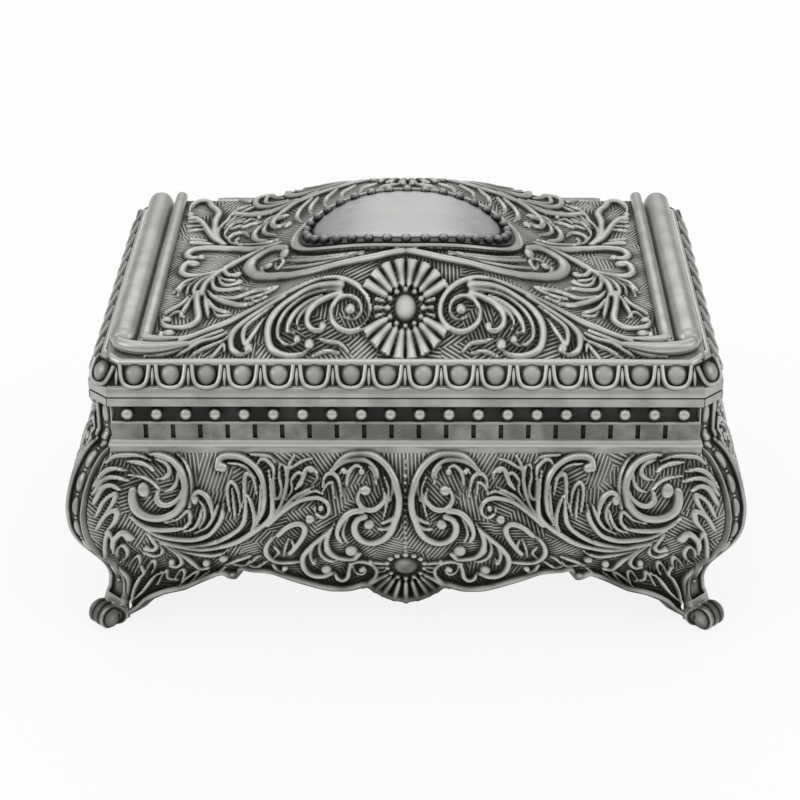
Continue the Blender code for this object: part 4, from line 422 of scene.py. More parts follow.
@dataclass(frozen=True)
class Carving:
    """Strokes and knobs of a carved face, drawn for its left half and mirrored.

    Attributes:
        strokes: the raised lines.
        knobs: the raised balls.
        middle: the x of the middle line in the strokes' own numbers.
        reach: the x at which the strokes' numbers need no shift.
    """

    strokes: tuple[Stroke, ...]
    knobs: tuple[Knob, ...]
    middle: float = 0.0
    reach: float = 60.0

    LEAST_RADIUS = 0.30
    FULLNESS = 1.18
    ROUNDNESS = 0.55

    def rise(self, x: Points, y: Points) -> Points:
        """How far the carving rises, as a share of its depth.

        Args:
            x: places along the face in millimetres, 0 at its middle.
            y: places up the face.

        Returns:
            Shares from 0 to 1 in the shape of x.
        """
        own_x = (self.middle - np.abs(x)) / (1 - self.middle / self.reach)
        rise = np.zeros(x.shape)
        for stroke in self.strokes:
            curve, radii = self.sampled(stroke)
            self.raise_stroke(rise, own_x, y, curve, radii, stroke.height())
        for knob in self.knobs:
            share = ((own_x - knob.x) / knob.half_x) ** 2 + ((y - knob.y) / knob.half_y) ** 2
            ball = knob.height * np.sqrt(np.clip(1 - share, 0, 1))
            np.maximum(rise, ball, out=rise)
        return rise

    def sampled(self, stroke: Stroke) -> tuple[Points, Points]:
        """Places along a stroke and its half width at each of them.

        Args:
            stroke: the stroke.

        Returns:
            The places, and the half widths.
        """
        curve = spline(np.array(stroke.path).reshape(-1, 2))
        steps = np.hypot(*np.diff(curve, axis=0).T)
        share = np.concatenate(((0.0,), np.cumsum(steps))) / max(steps.sum(), 1e-6)
        widths = np.interp(share, (0.0, 0.12, 0.5, 0.88, 1.0), self.widths(stroke.taper))
        return curve, np.maximum(stroke.width / 2 * self.FULLNESS * widths, self.LEAST_RADIUS)

    @staticmethod
    def widths(taper: Taper) -> tuple[float, float, float, float, float]:
        """A taper's width shares at five places along a stroke.

        Args:
            taper: the kind of taper.

        Returns:
            The five shares.
        """
        start, middle, end = taper.value
        return start, (start + 2 * middle) / 3, middle, (end + 2 * middle) / 3, end

    def raise_stroke(
        self, rise: Points, x: Points, y: Points, curve: Points, radii: Points, height: float
    ) -> None:
        """Raise one stroke on the grid of shares.

        Args:
            rise: the shares, changed in place.
            x: places along the face in the strokes' own numbers.
            y: places up the face.
            curve: places along the stroke.
            radii: its half width at each of them.
            height: the share that its top reaches.
        """
        room = radii.max()
        low = curve.min(axis=0) - room
        high = curve.max(axis=0) + room
        near = (x > low[0]) & (x < high[0]) & (y > low[1]) & (y < high[1])
        if not near.any():
            return
        px, py = x[near], y[near]
        least = np.full(px.shape, 9.0)
        for start, end, first, last in zip(curve, curve[1:], radii, radii[1:]):
            way = end - start
            length = max(float(way @ way), 1e-9)
            share = ((px - start[0]) * way[0] + (py - start[1]) * way[1]) / length
            share = np.clip(share, 0, 1)
            gap = (px - start[0] - share * way[0]) ** 2 + (py - start[1] - share * way[1]) ** 2
            np.minimum(least, gap / (first + share * (last - first)) ** 2, out=least)
        ridge = height * np.clip(1 - least, 0, 1) ** self.ROUNDNESS
        rise[near] = np.maximum(rise[near], ridge)


class Shape:
    """Closed solids in millimetres, gathered into the mesh of one piece."""

    def __init__(self, name: str) -> None:
        """Start with nothing.

        Args:
            name: the piece's name.
        """
        self.name = name
        self.points: list[Points] = []
        self.faces: list[tuple[int, ...]] = []
        self.relief: list[Points] = []
        self.patina_and_painted_light: list[Points] = []
        self.place: list[Points] = []
        self.count = 0

    def add(
        self,
        points: Points,
        faces: Iterable[Sequence[int]],
        relief: Points | float = 1.0,
        patina_and_painted_light: Points | float = 0.3,
        place: Points | float = 0.0,
    ) -> None:
        """Add one closed solid.

        Args:
            points: its places, one row each.
            faces: its faces, as rows of place numbers.
            relief: how high each place lies in the carving, from 0 to 1.
            patina_and_painted_light: the tone that the pewter is drawn in at each place: low in
                hollows, high on what stands out, raised by painted light on some plain parts and
                lowered by painted shade low on the walls.
            place: where each place lies on its carved face.
        """
        points = np.asarray(points, float).reshape(-1, 3)
        start = self.count
        self.faces.extend(tuple(int(i) + start for i in face) for face in faces)
        self.points.append(points)
        self.relief.append(np.broadcast_to(relief, (len(points),)).astype(float))
        self.patina_and_painted_light.append(np.broadcast_to(patina_and_painted_light, (len(points),)).astype(float))
        self.place.append(np.broadcast_to(place, (len(points), 3)).astype(float))
        self.count += len(points)

    def turn(self, matrix: Matrix) -> None:
        """Move everything added so far.

        Args:
            matrix: how to move it.
        """
        rows = np.array(matrix)
        self.points = [points @ rows[:3, :3].T + rows[:3, 3] for points in self.points]

    def piece(self, material: bpy.types.Material, sharp_degrees: float = 40.0) -> bpy.types.Object:
        """Make the piece.

        Args:
            material: its finish.
            sharp_degrees: the angle from which an edge stays sharp.

        Returns:
            The piece, in metres.
        """
        mesh = bpy.data.meshes.new(self.name)
        points = np.vstack(self.points) * MM
        mesh.from_pydata(points.tolist(), [], self.faces)
        for name, values in (("relief", self.relief), ("patina_and_painted_light", self.patina_and_painted_light)):
            layer = mesh.attributes.new(name, "FLOAT", "POINT")
            layer.data.foreach_set("value", np.concatenate(values).astype(np.float32))
        layer = mesh.attributes.new("place", "FLOAT_VECTOR", "POINT")
        layer.data.foreach_set("vector", np.vstack(self.place).astype(np.float32).ravel())
        mesh.materials.append(material)
        fix_normals(mesh)
        mesh.shade_smooth()
        mesh.set_sharp_from_angle(angle=math.radians(sharp_degrees))
        piece = bpy.data.objects.new(self.name, mesh)
        bpy.context.scene.collection.objects.link(piece)
        return piece


def fix_normals(mesh: bpy.types.Mesh) -> None:
    """Turn the faces of closed solids outwards.

    Args:
        mesh: the mesh to change.
    """
    shape = bmesh.new()
    shape.from_mesh(mesh)
    bmesh.ops.recalc_face_normals(shape, faces=shape.faces)
    shape.to_mesh(mesh)
    shape.free()


def grid_faces(rows: int, columns: int, start: int = 0) -> list[tuple[int, int, int, int]]:
    """Faces of a grid of places.

    Args:
        rows: how many rows of places.
        columns: how many places in a row.
        start: the number of the first place.

    Returns:
        The faces.
    """
    index = np.arange(rows * columns).reshape(rows, columns) + start
    corners = (index[:-1, :-1], index[1:, :-1], index[1:, 1:], index[:-1, 1:])
    return list(map(tuple, np.stack(corners, axis=-1).reshape(-1, 4).tolist()))


def closed_sheet(front: Points, back: Points, step: int) -> tuple[Points, list[tuple[int, ...]]]:
    """A sheet with a fine front and a coarse back that share a fine edge.

    Args:
        front: rows of columns of places.
        back: as many places behind them.
        step: how many fine places the back skips.

    Returns:
        The places and the faces of the closed solid.
    """
    rows, columns = front.shape[:2]
    faces: list[tuple[int, ...]] = list(grid_faces(rows, columns))
    ring = [(i, 0) for i in range(rows - 1)]
    ring += [(rows - 1, j) for j in range(columns - 1)]
    ring += [(rows - 1 - i, columns - 1) for i in range(rows - 1)]
    ring += [(0, columns - 1 - j) for j in range(columns - 1)]
    coarse_rows = sorted({*range(0, rows, step), rows - 1})
    coarse_columns = sorted({*range(0, columns, step), columns - 1})
    inner = [(i, j) for i in coarse_rows[1:-1] for j in coarse_columns[1:-1]]
    behind = {place: rows * columns + k for k, place in enumerate(ring + inner)}
    for k, place in enumerate(ring):
        following = ring[(k + 1) % len(ring)]
        first, last = place[0] * columns + place[1], following[0] * columns + following[1]
        faces.append((first, last, behind[following], behind[place]))
    for i, next_i in zip(coarse_rows, coarse_rows[1:]):
        for j, next_j in zip(coarse_columns, coarse_columns[1:]):
            face = [(i, c) for c in (range(j, next_j) if i == 0 else (j,))]
            face += [(r, next_j) for r in (range(i, next_i) if next_j == columns - 1 else (i,))]
            last_row = next_i == rows - 1
            face += [(next_i, c) for c in (range(next_j, j, -1) if last_row else (next_j,))]
            face += [(r, j) for r in (range(next_i, i, -1) if j == 0 else (next_i,))]
            faces.append(tuple(behind[place] for place in face))
    behind_points = np.array([back[i, j] for i, j in ring + inner])
    return np.vstack((front.reshape(-1, 3), behind_points)), faces


def closed_tube(rings: Points, round_trip: bool) -> tuple[Points, list[tuple[int, ...]]]:
    """A solid through rings of places, closed into a loop or capped at both ends.

    Args:
        rings: rows of places, each row once round the section.
        round_trip: whether the last ring joins the first one.

    Returns:
        The places and the faces.
    """
    count, sides = rings.shape[:2]
    faces: list[tuple[int, ...]] = []
    for i in range(count if round_trip else count - 1):
        here, there = i * sides, (i + 1) % count * sides
        for k in range(sides):
            n = (k + 1) % sides
            faces.append((here + k, here + n, there + n, there + k))
    if not round_trip:
        faces.append(tuple(range(sides)))
        faces.append(tuple(range((count - 1) * sides, count * sides)))
    return rings.reshape(-1, 3), faces


def ball_solid(centre: Sequence[float], half_sizes: Points, segments: int = 16) -> tuple:
    """A ball or an egg.

    Args:
        centre: its middle.
        half_sizes: three rows, each the way and length of one half axis.
        segments: how many faces once round it.

    Returns:
        The places and the faces.
    """
    rings = segments // 2
    lean = np.pi * np.arange(1, rings) / rings
    turn = 2 * np.pi * np.arange(segments) / segments
    unit = np.stack(
        (
            np.sin(lean)[:, None] * np.cos(turn),
            np.sin(lean)[:, None] * np.sin(turn),
            np.cos(lean)[:, None] * np.ones(segments),
        ),
        axis=-1,
    ).reshape(-1, 3)
    unit = np.vstack((unit, ((0, 0, 1), (0, 0, -1))))
    count = (rings - 1) * segments
    faces: list[tuple[int, ...]] = []
    for i in range(rings - 2):
        for k in range(segments):
            n = (k + 1) % segments
            low, high = i * segments, (i + 1) * segments
            faces.append((low + k, high + k, high + n, low + n))
    for k in range(segments):
        n = (k + 1) % segments
        faces.append((count, k, n))
        faces.append((count + 1, count - segments + n, count - segments + k))
    return unit @ np.asarray(half_sizes, float) + np.asarray(centre, float), faces


def turned_solid(outline: Sequence[Sequence[float]], frame_at: Matrix, segments: int) -> tuple:
    """An outline of radius and height turned round the Z axis of a frame.

    Args:
        outline: the places from one end on the axis to the other.
        frame_at: where the axis runs.
        segments: how many faces once round it.

    Returns:
        The places and the faces.
    """
    profile = np.array(outline, float)
    turn = 2 * np.pi * np.arange(segments) / segments
    rings = np.stack(
        (
            profile[1:-1, :1] * np.cos(turn),
            profile[1:-1, :1] * np.sin(turn),
            profile[1:-1, 1:] * np.ones(segments),
        ),
        axis=-1,
    )
    count = len(profile) - 2
    faces: list[tuple[int, ...]] = []
    for i in range(count - 1):
        for k in range(segments):
            n = (k + 1) % segments
            low, high = i * segments, (i + 1) * segments
            faces.append((low + k, low + n, high + n, high + k))
    end = count * segments
    for k in range(segments):
        n = (k + 1) % segments
        faces.append((end, n, k))
        faces.append((end + 1, end - segments + k, end - segments + n))
    tips = ((0, 0, profile[0, 1]), (0, 0, profile[-1, 1]))
    points = np.vstack((rings.reshape(-1, 3), tips))
    rows = np.array(frame_at)
    return points @ rows[:3, :3].T + rows[:3, 3], faces


def pointing(place: Sequence[float], way: Sequence[float]) -> Matrix:
    """A frame at a place whose Z axis points a way.

    Args:
        place: its origin.
        way: where its Z axis points.

    Returns:
        The frame.
    """
    turn = Vector((0, 0, 1)).rotation_difference(Vector(way)).to_matrix().to_4x4()
    return Matrix.Translation(Vector(place)) @ turn


def spread(half_length: float, end_room: float, pitch: float) -> list[float]:
    """Evenly spaced places along a side, as near to a pitch as its length allows.

    Args:
        half_length: half the side.
        end_room: how far the outer places stay from its ends.
        pitch: the gap that is wanted.

    Returns:
        The places, 0 at the side's middle.
    """
    span = 2 * (half_length - end_room)
    gaps = max(1, round(span / pitch))
    return [span * k / gaps - span / 2 for k in range(gaps + 1)]


def ogee(share: Points) -> Points:
    """A smooth fall from 1 to 0 that stays full near its start.

    Args:
        share: how far along the fall, from 0 to 1.

    Returns:
        What is left of it.
    """
    return (1 + np.cos(np.pi * np.clip(share, 0, 1) ** 1.3)) / 2


@dataclass(frozen=True)
class BoxSizes:
    """Sizes that the sub-assemblies share, in millimetres."""

    half_width: float = 69.0
    half_depth: float = 47.5
    corner_cut: float = 4.45
    lid_base: float = 58.1
    belly_top: float = 45.6
    belly_middle: float = 31.2
    ankle: float = 9.5
    bulge: float = 6.3
    ankle_inset: float = 1.0
    belly_power: float = 1.6
    carving_depth: float = 0.95
    hinge_spread: float = 40.0
    hinge_pad_half: float = 8.2
    hinge_proud: float = 0.4

    def belly_out(self, height: Points) -> Points:
        """How far the wall stands outside the rim's plane.

        Args:
            height: heights above the ground.

        Returns:
            The distances.
        """
        height = np.asarray(height, float)
        rise = np.clip((height - self.belly_middle) / (self.belly_top - self.belly_middle), 0, 1)
        upper = self.bulge * (1 - rise**self.belly_power) ** (1 / self.belly_power)
        drop = (self.belly_middle - height) / (self.belly_middle - self.ankle)
        lower = (self.bulge + self.ankle_inset) * ogee(drop) - self.ankle_inset
        return np.where(height >= self.belly_middle, upper, lower)

    def on_hinge_pad(self, across: float, margin: float) -> bool:
        """Whether a place along the rear lies on a hinge pad.

        Args:
            across: the place.
            margin: the room that is wanted beside the pad.

        Returns:
            True on a pad.
        """
        return abs(abs(across) - self.hinge_spread) < self.hinge_pad_half + margin


BOX = BoxSizes()


@dataclass(frozen=True)
class Tones:
    """How bright the pewter on each plain form is drawn, dark below 0 and bright above it; the rail
    and post rim values are partly painted light.
    """

    deep: float = -0.24
    dentil: float = 0.04
    rim: float = 0.16
    ridge: float = 0.34
    border: float = -0.3
    moulding: float = 0.42
    lid_band: float = 0.22
    # Partly painted light: the rails are drawn brighter to stand in for light from above.
    rail: float = 0.22
    curl: float = 0.26
    # Partly painted light: the plain top of each post is drawn bright where shade falls under the
    # lid.
    post_rim: float = 0.2
    post_carving: float = -0.06
    foot: float = -0.10
    plate: float = 0.3
    channel: float = -0.5


TONES = Tones()


def fan(
    middle: tuple[float, float], turns: Sequence[float], start: float, end: float, width: float
) -> list[Stroke]:
    """Petals that spread from a middle.

    Args:
        middle: the place that they point away from.
        turns: their directions in degrees from straight down, towards the left.
        start: how far from the middle they begin.
        end: how far from it they end.
        width: how wide they are at the outer end.

    Returns:
        The petals as strokes.
    """
    petals = []
    for turn in turns:
        across, down = -math.sin(math.radians(turn)), -math.cos(math.radians(turn))
        path = []
        for share in (0.0, 0.35, 0.7, 1.0):
            away = start + (end - start) * share
            path += [middle[0] + across * away, middle[1] + down * away]
        petals.append(Stroke(Taper.BUD, width, tuple(path)))
    return petals


def bead_ring(middle: tuple[float, float], radius: float, count: int, size: float) -> list[Knob]:
    """Small beads in a ring.

    Args:
        middle: the ring's middle.
        radius: its radius.
        count: how many beads lie on it.
        size: a bead's radius.

    Returns:
        The beads.
    """
    beads = []
    for k in range(count):
        turn = 2 * math.pi * k / count
        x, y = middle[0] + radius * math.sin(turn), middle[1] - radius * math.cos(turn)
        beads.append(Knob(x, y, size, size, 0.8))
    return beads


@dataclass(frozen=True)
class PanelSizes:
    """Sizes of a wall of the body, in millimetres."""

    half_length: float
    hinged: bool
    wall: float = 2.3
    grid: float = 0.30
    bead_radius: float = 1.4
    bead_pitch: float = 6.33
    bead_end_room: float = 4.2
    bead_height: float = 53.9
    bead_out: float = -0.75
    slot_pitch: float = 5.94
    slot_end_room: float = 8.0
    slot_half: float = 0.45
    slot_depth: float = 0.7
    apron_rise: float = 14.0
    edge_width: float = 1.6
    edge_lift: float = 0.75
    shell_height: float = 15.7
    seam_start: float = 21.4
    seam_pitch: float = 1.5
    seam_beads: int = 16
    deep_out: float = -0.62
    deep_relief: float = 0.3
    dentil_low: float = 47.8
    dentil_high: float = 51.4
    ridge_low: float = 45.9
    ridge_high: float = 47.4
    # Painted shade: the belly is drawn darker by low_shade, from low_from downwards over low_span
    # millimetres.
    low_shade: float = 0.18
    low_from: float = 28.0
    low_span: float = 16.0


class Panel:
    """A bellied wall with its rim, beads, dentils, ridge, carving and shaped lower edge."""

    APRON = (
        (0.990, 0.09), (0.955, 0.19), (0.918, 0.36), (0.855, 0.50), (0.780, 0.59), (0.712, 0.75),
        (0.650, 0.88), (0.615, 0.80), (0.590, 0.82), (0.578, 1.00), (0.540, 0.96), (0.474, 0.91),
        (0.408, 0.77), (0.340, 0.66), (0.270, 0.57), (0.200, 0.57), (0.138, 0.65), (0.116, 0.57),
        (0.062, 0.42), (0.000, 0.35),
    )
    FRIEZE = (
        (-3.3, 57.8), (-0.15, 57.8), (0.0, 57.65), (0.0, 56.0), (-0.2, 55.8), (-1.15, 55.75),
        (-1.35, 55.3), (-1.4, 53.9), (-1.3, 52.5), (-1.1, 52.1), (-0.6, 52.0), (-0.45, 51.85),
        (-0.45, 51.65), (-0.6, 51.5), (-0.6, 51.3),
    )
    RIDGE = (
        (-0.6, 47.9), (-0.6, 47.7), (-0.2, 47.55), (0.1, 47.2), (0.3, 46.65), (0.15, 46.05),
        (0.0, 45.6), (0.1, 45.2), (0.1, 44.3), (-3.3, 43.7),
    )

    def __init__(self, side: Side, sizes: PanelSizes) -> None:
        """Take the wall's place and sizes.

        Args:
            side: which wall it is.
            sizes: its sizes.
        """
        self.side = side
        self.sizes = sizes
        self.shape = Shape(f"{side.value[0]}_wall")

    def build(self, material: bpy.types.Material) -> bpy.types.Object:
        """Make the wall and put it in its place.

        Args:
            material: its finish.

        Returns:
            The piece.
        """
        self.belly()
        self.frieze()
        self.beads()
        if self.sizes.hinged:
            self.hinge_pads()
        out = BOX.half_depth if self.side in (Side.FRONT, Side.REAR) else BOX.half_width
        turn = Matrix.Rotation(self.side.value[1] * math.pi / 2, 4, "Z")
        self.shape.turn(turn @ Matrix.Translation((0, -out, 0)))
        piece = self.shape.piece(material)
        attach(piece, "box")
        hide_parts(f"{self.side.value[0]}_panel")
        return piece

    def carving(self) -> Carving:
        """The carving that fits the wall's length.

        Returns:
            The strokes and knobs.
        """
        half = self.sizes.half_length
        shell = (0.0, self.sizes.shell_height)
        strokes = fan(shell, (0, 15.6, 31, 43, 55), 4.9, 11.6, 1.75)
        strokes += fan(shell, (70, 85, 100), 4.9, 7.2, 1.0)
        knobs = [Knob(*shell, 2.9, 3.1)] + bead_ring(shell, 4.3, 14, 0.75)
        rise, lift = self.sizes.apron_rise, self.sizes.edge_lift
        edge = [(x * half, z * rise + lift) for x, z in self.APRON]
        path = tuple(value for x, z in edge for value in (-x, z))
        strokes.append(Stroke(Taper.EVEN, self.sizes.edge_width, path))
        start, pitch = self.sizes.seam_start, self.sizes.seam_pitch
        seam = [start + pitch * k for k in range(self.sizes.seam_beads)]
        knobs += [Knob(0.0, height, 0.42, 0.5, 0.6) for height in seam]
        if self.side in (Side.FRONT, Side.REAR):
            strokes += CORNER_STROKES + FOOT_STROKES + SWEEP_STROKES + MIDDLE_STROKES
            knobs += CORNER_KNOBS + SWEEP_KNOBS + MIDDLE_KNOBS
            return Carving(tuple(strokes), tuple(knobs))
        shift = 64.55 - half
        for stroke in CORNER_STROKES + FOOT_STROKES + SWEEP_STROKES:
            path = np.array(stroke.path).reshape(-1, 2) + (shift, 0)
            if path[:, 0].max() < -2.5:
                moved = tuple(float(value) for value in path.ravel())
                strokes.append(Stroke(stroke.taper, stroke.width, moved))
        for knob in CORNER_KNOBS + SWEEP_KNOBS:
            knobs.append(Knob(knob.x + shift, knob.y, knob.half_x, knob.half_y))
        return Carving(tuple(strokes), tuple(knobs))

    def belly(self) -> None:
        """Add the carved belly, from under the ridge to the shaped lower edge."""
        sizes = self.sizes
        heights = np.arange(BOX.belly_top, -0.01, -0.05)
        outs = BOX.belly_out(heights)
        travel = np.concatenate(((0.0,), np.cumsum(np.hypot(np.diff(heights), np.diff(outs)))))
        lean_out, lean_z = -np.gradient(heights, travel), np.gradient(outs, travel)
        apron = np.array(self.APRON)[::-1]
        across = np.linspace(-1, 1, int(2 * (sizes.half_length + BOX.bulge) / sizes.grid) | 1)
        foot_x = np.abs(across) * (sizes.half_length - BOX.ankle_inset)
        bottom = np.interp(foot_x / sizes.half_length, apron[:, 0], apron[:, 1])
        bottom_travel = np.interp(-bottom * sizes.apron_rise, -heights, travel)
        rows = int(travel[-1] * 0.92 / sizes.grid)
        place = np.linspace(0, 1, rows)[:, None] * bottom_travel[None, :]
        z = np.interp(place, travel, heights)
        out = np.interp(place, travel, outs)
        n_out = np.interp(place, travel, lean_out)
        n_z = np.interp(place, travel, lean_z)
        x = across[None, :] * (sizes.half_length + out)
        rise = self.carving().rise(x, z)
        sink = BOX.carving_depth * (1 - rise)
        front = self.sheet(across, out - n_out * sink, z - n_z * sink)
        back = self.sheet(across, out - n_out * sizes.wall, z - n_z * sizes.wall)
        points, faces = closed_sheet(front, back, 14)
        # Painted shade: the tone falls towards the belly's bottom, on top of the patina in its
        # hollows.
        low = np.clip((sizes.low_from - z) / sizes.low_span, 0, 1)
        patina_and_painted_light = rise - blurred(rise, 4) - sizes.low_shade * low
        rest = len(points) - rise.size
        self.shape.add(
            points,
            faces,
            np.concatenate((rise.ravel(), np.full(rest, 0.6))),
            np.concatenate((patina_and_painted_light.ravel(), np.zeros(rest))),
            np.vstack((np.stack((x, z, 0 * x), axis=-1).reshape(-1, 3), np.zeros((rest, 3)))),
        )

    def sheet(self, across: Points, out: Points, z: Points) -> Points:
        """Places of a sheet of the wall, mitred at both ends.

        Args:
            across: shares of the wall's half length.
            out: how far each place stands outside the rim's plane.
            z: its height.

        Returns:
            The places.
        """
        return np.stack((across[None, :] * (self.sizes.half_length + out), -out, z), axis=-1)

    def frieze(self) -> None:
        """Add the rim, the cove, the dentil band and the ridge as one bar."""
        sizes = self.sizes
        slots = spread(sizes.half_length, sizes.slot_end_room, sizes.slot_pitch)
        if sizes.hinged:
            slots = [x for x in slots if not BOX.on_hinge_pad(x, 2 * sizes.slot_half)]
        columns: list[tuple[float, bool]] = [(-1.0, False), (1.0, False)]
        for slot in slots:
            for edge in (-1, 1):
                columns.append(((slot + edge * sizes.slot_half) / sizes.half_length, True))
                outer = slot + edge * (sizes.slot_half + 0.06)
                columns.append((outer / sizes.half_length, False))
        columns.sort()
        rings = []
        for share, deep in columns:
            floor = -0.6 - (sizes.slot_depth if deep else 0)
            section = self.FRIEZE + ((floor, 51.24), (floor, 47.96)) + self.RIDGE
            ring = []
            for out, z in section:
                end = abs(share) == 1
                x = share * (sizes.half_length + (out if end else 0))
                ring.append((x, -out, z))
            rings.append(ring)
        points, faces = closed_tube(np.array(rings), False)
        out = -points[:, 1]
        z = points[:, 2]
        deep = out < sizes.deep_out
        relief = np.where(deep, sizes.deep_relief, 1.0)
        dentil = (z > sizes.dentil_low) & (z < sizes.dentil_high)
        patina_and_painted_light = np.where(dentil, TONES.dentil, TONES.rim)
        patina_and_painted_light = np.where(deep, TONES.deep, patina_and_painted_light)
        ridge = (z > sizes.ridge_low) & (z < sizes.ridge_high)
        patina_and_painted_light = np.where(ridge, TONES.ridge, patina_and_painted_light)
        self.shape.add(points, faces, relief, patina_and_painted_light)

    def beads(self) -> None:
        """Add the row of beads in the cove."""
        sizes = self.sizes
        for x in spread(sizes.half_length, sizes.bead_end_room, sizes.bead_pitch):
            if sizes.hinged and BOX.on_hinge_pad(x, sizes.bead_radius):
                continue
            centre = (x, -sizes.bead_out, sizes.bead_height)
            points, faces = ball_solid(centre, np.eye(3) * sizes.bead_radius, 20)
            proud = np.clip((-points[:, 1] - sizes.bead_out) / sizes.bead_radius, 0, 1)
            self.shape.add(points, faces, 0.35 + 0.65 * proud, 0.55 * proud - 0.1)

    def hinge_pads(self) -> None:
        """Add the flat pads that carry the hinges."""
        for side in (-1, 1):
            x = side * BOX.hinge_spread
            low = (x - BOX.hinge_pad_half, -BOX.hinge_proud, 48.6)
            high = (x + BOX.hinge_pad_half, 2.3, 57.5)
            self.shape.add(*block(low, high))


def block(low: Sequence[float], high: Sequence[float], bevel: float = 0.15) -> tuple:
    """A box with small chamfers along its upright and level edges.

    Args:
        low: its lowest corner.
        high: its highest corner.
        bevel: how wide the chamfer is.

    Returns:
        The places and the faces.
    """
    rings = []
    for z, inset in ((low[2], bevel), (low[2] + bevel, 0), (high[2] - bevel, 0), (high[2], bevel)):
        ring = []
        x0, x1, y0, y1 = low[0] + inset, high[0] - inset, low[1] + inset, high[1] - inset
        for x, y, sx, sy in ((x0, y0, 1, 1), (x1, y0, -1, 1), (x1, y1, -1, -1), (x0, y1, 1, -1)):
            first, second = (x + sx * bevel, y), (x, y + sy * bevel)
            ring += [(*first, z), (*second, z)] if sx != sy else [(*second, z), (*first, z)]
        rings.append(ring)
    return closed_tube(np.array(rings), False)


@dataclass(frozen=True)
class PostSizes:
    """Sizes of a corner post and its foot, in millimetres."""

    half_width: float = 2.85
    wall: float = 2.6
    rib: float = 0.85
    depth: float = 0.8
    lobe_radius: float = 2.65
    lobe_length: float = 5.0
    lobe_inset: float = 3.0
    lobe_proud: float = 0.4
    toe_radius: float = 2.9
    toe_out: float = 2.6
    flat: float = 0.3
    bead_pitch: float = 5.9
    grid: float = 0.22


